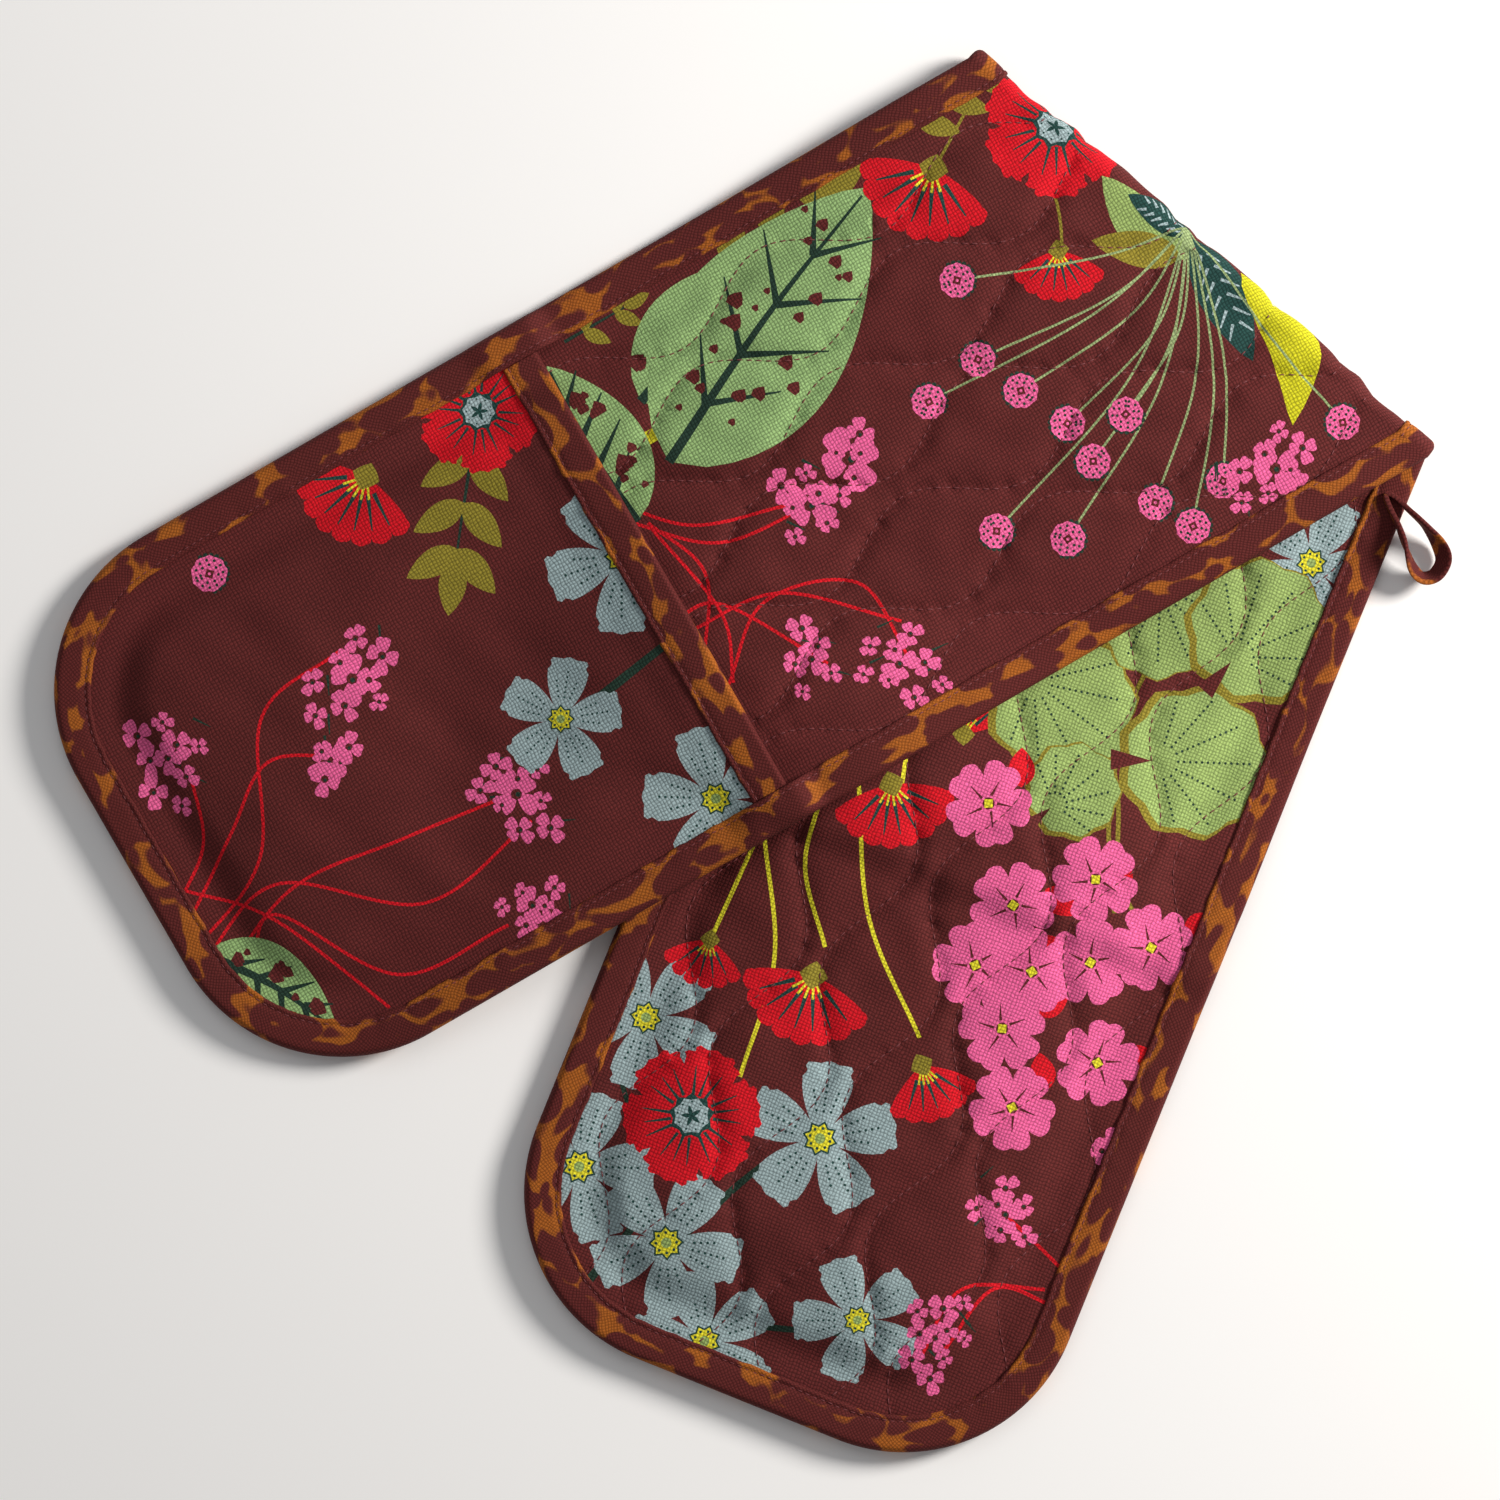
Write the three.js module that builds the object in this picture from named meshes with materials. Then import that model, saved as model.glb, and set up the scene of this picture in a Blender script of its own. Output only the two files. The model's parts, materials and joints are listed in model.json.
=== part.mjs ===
// Double oven glove: one long quilted strip with a hand pocket at each end, bound all round
// with tape. It is folded on a slant in the middle, pockets outward, and lies on a table: the
// lower half back side up with its pocket underneath, the upper half on it with its pocket up.
//
// Each half is drawn in its own pattern coordinates, "along" from the middle of the fold to the
// tip and "across" the strip, and a height h off the back cover towards the pocket side.
// The fold line is the X axis of the drawing; both halves lie on its -Y side.
// Units are millimetres and degrees, +Z up.
import * as THREE from "three";

const { clamp, degToRad, lerp, smoothstep } = THREE.MathUtils;

// Strip outline
const HALF_WIDTH = 95;
const HALF_LENGTH = 407;
const TIP_RADIUS = 59;
const SPLAY = degToRad(19);
const FOLD_DIRECTION = degToRad(-41);

// Layers
const COVER = 0.6;
const LAYER_GAP = 0.3;
const QUILT_THICKNESS = 6.4;
const BOUND_THICKNESS = 3;
const TAPER_START = 18;
const TAPER_END = 34;
const TAPE_ROOM_START = 16;
const TAPE_ROOM_END = 25;

// Binding tape, folded round every edge
const TAPE = 0.6;
const TAPE_GAP = 0.6;
const TAPE_STEP = TAPE + TAPE_GAP;
const BINDING_WIDTH = 12.5;
const MOUTH_BINDING_WIDTH = 12.8;

// Hand pockets
const POCKET_DEPTH = 202.5;
const MOUTH = HALF_LENGTH - POCKET_DEPTH;
const POCKET_EDGE_THICKNESS = 2.4;
const POCKET_THICKNESS = 3;
const SEAM_GAP = 0.3;
const HAND_GAP = 5;
const GAPE_LENGTH = 80;
const GAP_START = 16;
const GAP_END = 60;
const STEP_UP_START = MOUTH - 10;
const STEP_UP_END = MOUTH - 1;

// How the strip lies
const FOLD_GAP = 0.3;
const FOLD_HEIGHT = QUILT_THICKNESS + FOLD_GAP / 2;
const FOLD_EASE = 60;
const STACK_CLEARANCE = 1.5;
const CLEARANCE_EASE = 30;
const CLIMB_START = MOUTH - 80;
const CLIMB_END = MOUTH - 2;
const DRAPE_LENGTH = 75;
const DRAPE_START = 3;
const BRIDGE = 20;

// Hanging loop: tape on edge, sewn at the lower half's edge just past the fold
const LOOP_TAPE = 1.6;
const LOOP_LOW = 1;
const LOOP_HEIGHT_AT_SEAM = 2.2;
const LOOP_HEIGHT = 8;
const LOOP_DROP_START = 2;
const LOOP_DROP_END = 16;
const LOOP_WIDEN_START = 4;
const LOOP_WIDEN_END = 18;
const LOOP_STEPS = 28;
const LOOP_SEAM = [98.5, -18.5];
const LOOP_ROUTE = [[0, 0], [9, -4.5], [16, -8.7], [22.5, -12], [27.3, -12], [29.8, -8.3], [28.6, -3],
  [24, -0.2], [17, 1], [9.6, 1.4], [2.4, 1.8]];

// Mesh spacing
const MOUTH_ROWS = [TAPE_STEP, MOUTH_BINDING_WIDTH + 1, MOUTH_BINDING_WIDTH + 12];
const ROWS_TO_MOUTH = 9;
const ROWS_IN_POCKET = 4;
const COLUMN_EDGES = [TAPE_STEP, 13, 22, 34, 58];
const CORNER_STEPS = 6;
const BEND_STEPS = 6;

// side: which way the pocket faces; lean: which way the half turns off the fold;
// gape: how much further its pocket opens at the mouth
const HALVES = {
  upper: { side: 1, lean: -1, gape: 4 },
  lower: { side: -1, lean: 1, gape: 1 },
};

function cloth(color, roughness) {
  return new THREE.MeshStandardMaterial({ color, roughness, metalness: 0 });
}

const printedCanvas = () => cloth("#562625", 0.9);
const cottonWadding = () => cloth("#e8e2d4", 1);
const liningCotton = () => cloth("#d9cfbf", 0.95);
const bindingTape = () => cloth("#7a4022", 0.9);

// Pattern outline ------------------------------------------------------------------------

// Distance in from the strip's outer edge; negative outside it.
function edgeDistance(along, across) {
  const fromTip = HALF_LENGTH - along;
  const fromSide = HALF_WIDTH - Math.abs(across);
  if (fromTip < TIP_RADIUS && fromSide < TIP_RADIUS) {
    return TIP_RADIUS - Math.hypot(TIP_RADIUS - fromTip, TIP_RADIUS - fromSide);
  }
  return Math.min(fromTip, fromSide);
}

// A place on the round corner of the tip, some way in from the edge.
function cornerSpot(turn, inset) {
  const radius = TIP_RADIUS - inset;
  return {
    along: HALF_LENGTH - TIP_RADIUS + radius * Math.sin(turn),
    across: HALF_WIDTH - TIP_RADIUS + radius * Math.cos(turn),
  };
}

// Rows near the fold lie along the fold line, and turn square to the strip by the mouth.
function rowAlong(half, station, across) {
  const foldStart = half.lean * across * Math.tan(SPLAY) + FOLD_GAP / Math.cos(SPLAY);
  return station + foldStart * (1 - smoothstep(station, 0, MOUTH));
}

// Layer thicknesses ----------------------------------------------------------------------

const quilt = (edge) =>
  lerp(BOUND_THICKNESS, QUILT_THICKNESS, smoothstep(edge, TAPER_START, TAPER_END));

// Room for the binding tape between a layer's outside and whatever it lies on.
const tapeRoom = (edge) => TAPE_STEP * (1 - smoothstep(edge, TAPE_ROOM_START, TAPE_ROOM_END));

// Room for the mouth binding on each side of the pocket panel.
const mouthTuck = (inside) =>
  TAPE_STEP * (1 - smoothstep(inside, MOUTH_ROWS[1], MOUTH_ROWS[2]));

const pocketThickness = (edge) =>
  lerp(POCKET_EDGE_THICKNESS, POCKET_THICKNESS, smoothstep(edge, TAPER_START, TAPER_END));

function pocketGap(half, edge, inside) {
  const clearOfSeam = clamp(edge / BINDING_WIDTH, 0, 1);
  const atTape = SEAM_GAP + mouthTuck(inside) * (1 + clearOfSeam);
  const open = HAND_GAP + half.gape * (1 - smoothstep(inside, 0, GAPE_LENGTH));
  return atTape + open * smoothstep(edge, GAP_START, GAP_END);
}

const pocketStack = (half, edge, inside) => pocketGap(half, edge, inside) + pocketThickness(edge);

// Surfaces of one half as heights off its back, by place along and across.

const backHeight = () => 0;

const faceHeight = (half, along, across) => quilt(edgeDistance(along, across));

// Inner and outer surface of the pocket panel.
function liningHeight(half, along, across) {
  const edge = edgeDistance(along, across);
  return quilt(edge) + pocketGap(half, edge, along - MOUTH) - mouthTuck(along - MOUTH);
}

function pocketHeight(half, along, across) {
  return liningHeight(half, along, across) + pocketThickness(edgeDistance(along, across));
}

// Outermost surface on the pocket side, which the edge binding folds over.
function boundHeight(half, along, across) {
  const edge = edgeDistance(along, across);
  const covered = smoothstep(along, STEP_UP_START, STEP_UP_END);
  return quilt(edge) + covered * pocketStack(half, edge, along - MOUTH);
}

// A surface some way further out, or further in.
const offset = (surface, by) => (half, along, across) => surface(half, along, across) + by;

// How the halves lie ---------------------------------------------------------------------

const foldDistance = (half, along, across) =>
  along * Math.cos(SPLAY) - half.lean * across * Math.sin(SPLAY);

function planPoint(half, along, across) {
  return {
    x: half.lean * along * Math.sin(SPLAY) + across * Math.cos(SPLAY),
    y: -foldDistance(half, along, across),
  };
}

function lowerPattern(x, y) {
  return {
    along: x * Math.sin(SPLAY) - y * Math.cos(SPLAY),
    across: x * Math.cos(SPLAY) + y * Math.sin(SPLAY),
  };
}

// Height of the lower half's back, some way in from its edge.
function lowerProfile(along, edge, fromFold) {
  const climb = smoothstep(along, CLIMB_START, CLIMB_END);
  const stack = climb * pocketStack(HALVES.lower, edge, along - MOUTH);
  const flat = tapeRoom(edge) + quilt(edge) + stack;
  const folded = FOLD_HEIGHT - FOLD_GAP / 2 - tapeRoom(edge);
  return lerp(folded, flat, smoothstep(fromFold, 0, FOLD_EASE));
}

function lowerBack(along, across) {
  const fromFold = foldDistance(HALVES.lower, along, across);
  return lowerProfile(along, edgeDistance(along, across), fromFold);
}

// The upper half rests on the lower one, bridging its thin edge, and drapes to the table.
function upperBack(along, across) {
  const { x, y } = planPoint(HALVES.upper, along, across);
  const under = lowerPattern(x, y);
  const underEdge = edgeDistance(under.along, under.across);
  const support = lerp(
    lowerProfile(under.along, 0, -y) + TAPE_STEP,
    lowerProfile(under.along, GAP_END, -y),
    smoothstep(underEdge, -BRIDGE, GAP_END),
  );
  const clearance = lerp(FOLD_GAP, STACK_CLEARANCE, smoothstep(-y, 0, CLEARANCE_EASE));
  const held = 1 - smoothstep(-underEdge, DRAPE_START, DRAPE_START + DRAPE_LENGTH);
  return (support + clearance) * held + tapeRoom(edgeDistance(along, across));
}

function place(half, along, across, h) {
  const { x, y } = planPoint(half, along, across);
  const back = half === HALVES.upper ? upperBack(along, across) : lowerBack(along, across);
  return new THREE.Vector3(x, y, back + half.side * h);
}

// Solids ---------------------------------------------------------------------------------

// Skins a run of sections. A section lists its far side and then its near side, point for
// point, and comes back to its start. Both sides split their quads on the same diagonal, so
// that the faces of two neighbouring layers run parallel.
function loft(sections, ring = false) {
  const count = sections[0].length;
  const total = sections.length;
  const indices = [];
  const quad = (a, b, c, d) => indices.push(a, b, c, a, c, d);
  for (let i = 0; i < (ring ? total : total - 1); i++) {
    const here = i * count;
    const next = ((i + 1) % total) * count;
    for (let j = 0; j < count; j++) {
      const k = (j + 1) % count;
      if (j < count / 2) quad(here + j, here + k, next + k, next + j);
      else quad(here + k, next + k, next + j, here + j);
    }
  }
  if (!ring) {
    const last = (total - 1) * count;
    for (let j = 0; j < count / 2 - 1; j++) {
      const opposite = count - 1 - j;
      quad(j, opposite, opposite - 1, j + 1);
      quad(last + j, last + j + 1, last + opposite - 1, last + opposite);
    }
  }
  const geometry = new THREE.BufferGeometry();
  geometry.setAttribute(
    "position",
    new THREE.Float32BufferAttribute(sections.flat().flatMap((point) => point.toArray()), 3),
  );
  geometry.setIndex(volume(geometry.attributes.position, indices) > 0 ? indices : indices.reverse());
  geometry.computeVertexNormals();
  return geometry;
}

function volume(position, indices) {
  const corners = [new THREE.Vector3(), new THREE.Vector3(), new THREE.Vector3()];
  let sum = 0;
  for (let i = 0; i < indices.length; i += 3) {
    corners.forEach((corner, k) => corner.fromBufferAttribute(position, indices[i + k]));
    sum += corners[0].dot(corners[1].cross(corners[2]));
  }
  return sum / 6;
}

const columnFractions = (() => {
  const inner = HALF_WIDTH - TAPE_STEP;
  const right = COLUMN_EDGES.map((edge) => (HALF_WIDTH - edge) / inner);
  return [...right.map((fraction) => -fraction), 0, ...right.reverse()];
})();

const span = (from, to, steps) => Array.from({ length: steps }, (_, i) => lerp(from, to, i / steps));

const mouthStations = MOUTH_ROWS.map((row) => MOUTH + row);
const pocketStraight = [
  ...mouthStations,
  ...span(mouthStations.at(-1), HALF_LENGTH - TIP_RADIUS, ROWS_IN_POCKET).slice(1),
];
const stripStraight = [...span(0, MOUTH, ROWS_TO_MOUTH), MOUTH, ...pocketStraight];
const cornerTurns = [...span(0, Math.PI / 2, CORNER_STEPS), Math.PI / 2];

// A layer between two surfaces, as wide as the binding allows.
function layer(half, straight, low, high) {
  const rows = [
    ...straight.map((along) => ({ along, across: HALF_WIDTH - TAPE_STEP })),
    ...cornerTurns.map((turn) => cornerSpot(turn, TAPE_STEP)),
  ];
  return loft(rows.map((row) => {
    const side = (surface) => columnFractions.map((fraction) => {
      const across = fraction * row.across;
      const along = rowAlong(half, row.along, across);
      return place(half, along, across, surface(half, along, across));
    });
    return [...side(high), ...side(low).reverse()];
  }));
}

// A tape folded round an edge: offsets in from the edge, and heights past each side.
function tapeSection(half, width, at, high, low) {
  const spot = (inset, surface, off) => {
    const { along, across } = at(inset);
    const seat = at(Math.max(inset, TAPE_STEP));
    return { along, across, h: surface(half, seat.along, seat.across) + off };
  };
  const insets = [width, 2 * TAPE];
  const far = [
    ...insets.map((inset) => spot(inset, high, TAPE_STEP)),
    spot(0, high, TAPE_GAP),
    spot(0, low, -TAPE_GAP),
    ...[...insets].reverse().map((inset) => spot(inset, low, -TAPE_STEP)),
  ];
  const near = [
    ...insets.map((inset) => spot(inset, high, TAPE_GAP)),
    spot(TAPE, high, 0),
    spot(TAPE, low, 0),
    ...[...insets].reverse().map((inset) => spot(inset, low, -TAPE_GAP)),
  ];
  return [...far, ...near.reverse()];
}

// The edge binding runs from the fold along one side, round the tip and back to the fold.
function edgeBinding(half) {
  const sideRun = (side) => stripStraight.map((station) => (inset) => {
    const across = side * (HALF_WIDTH - inset);
    return { along: rowAlong(half, station, across), across };
  });
  const cornerRun = (side) => cornerTurns.map((turn) => (inset) => {
    const spot = cornerSpot(turn, inset);
    return { along: spot.along, across: side * spot.across };
  });
  const run = [
    ...sideRun(1), ...cornerRun(1),
    ...cornerRun(-1).reverse(), ...sideRun(-1).reverse(),
  ];
  return loft(run.map((at) => tapeSection(half, BINDING_WIDTH, at, boundHeight, backHeight)
    .map((spot) => place(half, spot.along, spot.across, spot.h))));
}

function mouthBinding(half) {
  const reach = HALF_WIDTH - BINDING_WIDTH - LAYER_GAP;
  const inner = HALF_WIDTH - TAPE_STEP;
  const columns = columnFractions.map((fraction) => clamp(fraction * inner, -reach, reach));
  return loft(columns.slice(1, -1).map((across) => {
    const at = (inset) => ({ along: MOUTH + inset, across });
    return tapeSection(half, MOUTH_BINDING_WIDTH, at, pocketHeight, liningHeight)
      .map((spot) => place(half, spot.along, spot.across, spot.h));
  }));
}

// Round the fold every layer is a half circle about the fold line.
function bend(spot, turn) {
  const edge = HALF_WIDTH - Math.abs(spot.across);
  const radius = FOLD_GAP / 2 + tapeRoom(edge) + spot.h;
  return new THREE.Vector3(
    spot.across / Math.cos(SPLAY),
    radius * Math.sin(turn),
    FOLD_HEIGHT + radius * Math.cos(turn),
  );
}

const bendTurns = [...span(0, Math.PI, BEND_STEPS), Math.PI];

function foldLayer(low, high) {
  const inner = HALF_WIDTH - TAPE_STEP;
  return loft(bendTurns.map((turn) => {
    const side = (surface) => columnFractions.map((fraction) => {
      const across = fraction * inner;
      return bend({ across, h: surface(HALVES.lower, 0, across) }, turn);
    });
    return [...side(high), ...side(low).reverse()];
  }));
}

function foldBinding(side) {
  const at = (inset) => ({ along: 0, across: side * (HALF_WIDTH - inset) });
  const section = tapeSection(HALVES.lower, BINDING_WIDTH, at, faceHeight, backHeight);
  return loft(bendTurns.map((turn) => section.map((spot) => bend(spot, turn))));
}

// A teardrop of tape standing on edge, low where it is sewn down. It lies on the lower half's
// binding and hangs down past its edge.
function hangingLoop() {
  const route = new THREE.CatmullRomCurve3(
    LOOP_ROUTE.map(([out, down]) => new THREE.Vector3(LOOP_SEAM[0] + out, LOOP_SEAM[1] + down, 0)),
    true,
    "centripetal",
  );
  return loft(span(0, 1, LOOP_STEPS).map((station) => {
    const point = route.getPointAt(station);
    const tangent = route.getTangentAt(station);
    const sideways = new THREE.Vector3(tangent.y, -tangent.x, 0).multiplyScalar(LOOP_TAPE / 2);
    const away = Math.hypot(point.x - LOOP_SEAM[0], point.y - LOOP_SEAM[1]);
    const { along, across } = lowerPattern(point.x, point.y);
    const onBinding = lowerBack(along, across) + TAPE_STEP + LAYER_GAP;
    const past = -edgeDistance(along, across);
    const bottom = lerp(onBinding, LOOP_LOW, smoothstep(past, LOOP_DROP_START, LOOP_DROP_END));
    const widened = smoothstep(away, LOOP_WIDEN_START, LOOP_WIDEN_END);
    const top = bottom + lerp(LOOP_HEIGHT_AT_SEAM, LOOP_HEIGHT, widened);
    const corner = (direction, height) =>
      new THREE.Vector3(point.x, point.y, height).addScaledVector(sideways, direction);
    return [corner(1, top), corner(1, bottom), corner(-1, bottom), corner(-1, top)];
  }), true);
}

// Assembly -------------------------------------------------------------------------------

const drawing = new THREE.Group();

function add(name, geometry, material) {
  const mesh = new THREE.Mesh(geometry, material);
  mesh.name = name;
  drawing.add(mesh);
}

const UNDER_COVER = COVER + LAYER_GAP;
const layers = {
  back_cover: [backHeight, offset(backHeight, COVER)],
  wadding: [offset(backHeight, UNDER_COVER), offset(faceHeight, -UNDER_COVER)],
  face_cover: [offset(faceHeight, -COVER), faceHeight],
  pocket_lining: [liningHeight, offset(liningHeight, COVER)],
  pocket_wadding: [offset(liningHeight, UNDER_COVER), offset(pocketHeight, -UNDER_COVER)],
  pocket_face: [offset(pocketHeight, -COVER), pocketHeight],
};
const finishes = {
  back_cover: printedCanvas,
  wadding: cottonWadding,
  face_cover: printedCanvas,
  pocket_lining: liningCotton,
  pocket_wadding: cottonWadding,
  pocket_face: printedCanvas,
};

for (const [name, half] of Object.entries(HALVES)) {
  for (const [piece, surfaces] of Object.entries(layers)) {
    const straight = piece.startsWith("pocket") ? pocketStraight : stripStraight;
    add(`${name}_${piece}`, layer(half, straight, ...surfaces), finishes[piece]());
  }
  add(`${name}_mouth_binding`, mouthBinding(half), bindingTape());
  add(`${name}_edge_binding`, edgeBinding(half), bindingTape());
}
for (const piece of ["back_cover", "wadding", "face_cover"]) {
  add(`fold_${piece}`, foldLayer(...layers[piece]), finishes[piece]());
}
add("fold_binding_loop_side", foldBinding(1), bindingTape());
add("fold_binding_far_side", foldBinding(-1), bindingTape());
add("hanging_loop", hangingLoop(), bindingTape());

// The fold line turned to its direction, and the origin put at the bottom centre.
drawing.rotation.z = FOLD_DIRECTION;
const glove = new THREE.Group();
glove.add(drawing);
glove.updateMatrixWorld(true);
const box = new THREE.Box3().setFromObject(glove, true);
const centre = box.getCenter(new THREE.Vector3());
glove.position.set(-centre.x, -centre.y, -box.min.z);
glove.updateMatrixWorld(true);

export default glove;
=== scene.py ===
"""Double oven glove: its looks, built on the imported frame.

Each half is drawn in pattern coordinates, in millimetres: "along" from the middle of the fold
to the tip, "across" the strip, and a height off the back cover towards the pocket side. The
formulas that lay the halves out are those of the CAD source, so a piece lies where its CAD
node does. Cloth coordinates unroll one cover of the strip over both halves, with the band that
goes round the fold between them; the quilting and the print are drawn in those.
"""

import json
import math
import random
from typing import NamedTuple

import bpy
import numpy as np
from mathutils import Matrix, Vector
from mathutils.geometry import delaunay_2d_cdt


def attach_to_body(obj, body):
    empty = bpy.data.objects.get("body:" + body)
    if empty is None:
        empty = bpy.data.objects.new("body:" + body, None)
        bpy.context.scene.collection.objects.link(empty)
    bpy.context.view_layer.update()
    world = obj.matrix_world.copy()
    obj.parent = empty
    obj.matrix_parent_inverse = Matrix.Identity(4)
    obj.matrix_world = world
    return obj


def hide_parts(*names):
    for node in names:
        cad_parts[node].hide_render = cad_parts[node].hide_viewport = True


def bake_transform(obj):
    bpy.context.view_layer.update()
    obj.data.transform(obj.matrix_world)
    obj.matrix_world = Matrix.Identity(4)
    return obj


MM = 0.001

# Strip outline
HALF_WIDTH = 95
HALF_LENGTH = 407
TIP_RADIUS = 59
SPLAY = math.radians(19)
TAN, SIN, COS = math.tan(SPLAY), math.sin(SPLAY), math.cos(SPLAY)

# Layers
COVER = 0.6
UNDER_COVER = 0.9
QUILT_THICKNESS = 6.4
BOUND_THICKNESS = 3
TAPER = (18, 34)
TAPE_ROOM = (16, 25)

# Binding tape
TAPE_STEP = 1.2
BINDING_WIDTH = 12.5
MOUTH_BINDING_WIDTH = 12.8

# Hand pockets
MOUTH = HALF_LENGTH - 202.5
POCKET_EDGE_THICKNESS = 2.4
POCKET_THICKNESS = 3
SEAM_GAP = 0.3
HAND_GAP = 5
GAPE_LENGTH = 80
GAP = (16, 60)
MOUTH_TUCK = (MOUTH_BINDING_WIDTH + 1, MOUTH_BINDING_WIDTH + 12)
STEP_UP = (MOUTH - 10, MOUTH - 1)

# How the strip lies
FOLD_GAP = 0.3
FOLD_HEIGHT = QUILT_THICKNESS + FOLD_GAP / 2
FOLD_EASE = 60
STACK_CLEARANCE = 1.5
CLEARANCE_EASE = 30
CLIMB = (MOUTH - 80, MOUTH - 2)
DRAPE = (3, 78)
BRIDGE = 20

# Quilting: lines that swing against each other and close lens-shaped cells between them
LINE_SPACING = 23.7
LINE_SWING = 8
WAVE = 77
FIRST_LINE = -67.2
LINES = 7
LINE_STEP = 1.6
CELL_START = -376.5
STITCHED_THICKNESS = 1.5
PUFF_REACH = 8.2
PUFF_POWER = 2.2
PRESSED = 0.06
SLACK, SLACK_WAVE = 0.28, 13
PUCKER, PUCKER_WAVE = 0.16, 6

# Mesh spacing
FINE = 2.2
COARSE = 5
EDGE_SPACING = 2.5
BEND_STEPS = 12
TAPE_ROWS = 1.8

# Hanging loop, drawn from its seam
LOOP_TAPE = 1.6
LOOP_LOW = 1
LOOP_HEIGHT_AT_SEAM = 2.2
LOOP_HEIGHT = 8
LOOP_DROP = (2, 16)
LOOP_WIDEN = (4, 18)
LOOP_LEAN = math.radians(28)
LOOP_ROWS = 110
LOOP_SEAM = (98.5, -18.5)
LOOP_ROUTE = (
    (0, 0), (9, -4.5), (16, -8.7), (22.5, -12), (27.3, -12), (29.8, -8.3), (28.6, -3),
    (24, -0.2), (17, 1), (9.6, 1.4), (2.4, 1.8),
)

# Stitches: pitch, thread thickness, and how a row lies on the tape
QUILT_STITCH = 3.2
QUILT_THREAD = 0.5
BINDING_STITCH = 2.7
BINDING_THREAD = 0.42
STITCH_SHARE = 0.74
HEM_STITCH = 1.8
HEM_DENT = 0.55
TAPE_LIFT = 0.15
CLOTH_LIFT = 0.12

# Camera and light
CAMERA_HEIGHT = 1.55
CAMERA_LENS = 112.0
WORLD_LIGHT = 0.24
KEY_LIGHT = 36
KEY_PLACE = (1.35, 0.55, 0.8)
KEY_SIZE = 0.5
TOP_LIGHT = 3.5
TOP_PLACE = (-0.2, 0.9, 1.6)
TOP_SIZE = 1.2
TABLE_REACH = 4


class Half(NamedTuple):
    """side: which way the pocket faces; lean: which way it turns off the fold; gape: how much
    further its pocket opens at the mouth."""

    body: str
    side: int
    lean: int
    gape: float


UPPER = Half("upper_half", 1, -1, 4)
LOWER = Half("lower_half", -1, 1, 1)

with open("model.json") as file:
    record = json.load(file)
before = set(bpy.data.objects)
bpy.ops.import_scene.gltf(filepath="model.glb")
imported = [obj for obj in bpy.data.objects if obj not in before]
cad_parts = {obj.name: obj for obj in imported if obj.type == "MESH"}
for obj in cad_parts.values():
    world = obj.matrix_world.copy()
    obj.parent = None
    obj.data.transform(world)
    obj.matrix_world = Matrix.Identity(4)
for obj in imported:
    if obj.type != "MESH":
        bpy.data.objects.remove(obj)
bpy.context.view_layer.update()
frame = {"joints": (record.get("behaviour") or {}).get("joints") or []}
fold = next(j for j in frame["joints"] if j["name"] == "fold")
FOLD_PLACE = np.array(fold["pos_m"][:2]) / MM
FOLD_LINE = -np.array(fold["axis"][:2])
FOLD_SQUARE = np.array([-FOLD_LINE[1], FOLD_LINE[0]])


# Layout -------------------------------------------------------------------------------------


def smoothstep(value, start, end):
    t = np.clip((value - start) / (end - start), 0, 1)
    return t * t * (3 - 2 * t)


def lerp(a, b, t):
    return a + (b - a) * t


def edge_distance(along, across):
    """Distance in from the strip's outer edge; negative outside it."""
    from_tip = HALF_LENGTH - along
    from_side = HALF_WIDTH - np.abs(across)
    rounded = TIP_RADIUS - np.hypot(TIP_RADIUS - from_tip, TIP_RADIUS - from_side)
    corner = (from_tip < TIP_RADIUS) & (from_side < TIP_RADIUS)
    return np.where(corner, rounded, np.minimum(from_tip, from_side))


def quilt(edge):
    return lerp(BOUND_THICKNESS, QUILT_THICKNESS, smoothstep(edge, *TAPER))


def tape_room(edge):
    return TAPE_STEP * (1 - smoothstep(edge, *TAPE_ROOM))


def mouth_tuck(inside):
    return TAPE_STEP * (1 - smoothstep(inside, *MOUTH_TUCK))


def pocket_thickness(edge):
    return lerp(POCKET_EDGE_THICKNESS, POCKET_THICKNESS, smoothstep(edge, *TAPER))


def pocket_gap(half, edge, inside):
    at_tape = SEAM_GAP + mouth_tuck(inside) * (1 + np.clip(edge / BINDING_WIDTH, 0, 1))
    opened = HAND_GAP + half.gape * (1 - smoothstep(inside, 0, GAPE_LENGTH))
    return at_tape + opened * smoothstep(edge, *GAP)


def pocket_stack(half, edge, inside):
    return pocket_gap(half, edge, inside) + pocket_thickness(edge)


def lining_height(half, along, across):
    edge = edge_distance(along, across)
    inside = along - MOUTH
    return quilt(edge) + pocket_gap(half, edge, inside) - mouth_tuck(inside)


def pocket_height(half, along, across):
    return lining_height(half, along, across) + pocket_thickness(edge_distance(along, across))


def bound_height(half, along, across):
    """The outermost surface on the pocket side, which the edge binding folds over."""
    edge = edge_distance(along, across)
    covered = smoothstep(along, *STEP_UP)
    return quilt(edge) + covered * pocket_stack(half, edge, along - MOUTH)


def back_height(_half, along, _across):
    """The back cover, which heights are measured from."""
    return np.zeros_like(along)


def plan_point(half, along, across):
    x = half.lean * along * SIN + across * COS
    y = half.lean * across * SIN - along * COS
    return x, y


def lower_profile(along, edge, from_fold):
    """Height of the lower half's back, some way in from its edge."""
    climb = smoothstep(along, *CLIMB)
    flat = tape_room(edge) + quilt(edge) + climb * pocket_stack(LOWER, edge, along - MOUTH)
    folded = FOLD_HEIGHT - FOLD_GAP / 2 - tape_room(edge)
    return lerp(folded, flat, smoothstep(from_fold, 0, FOLD_EASE))


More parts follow.
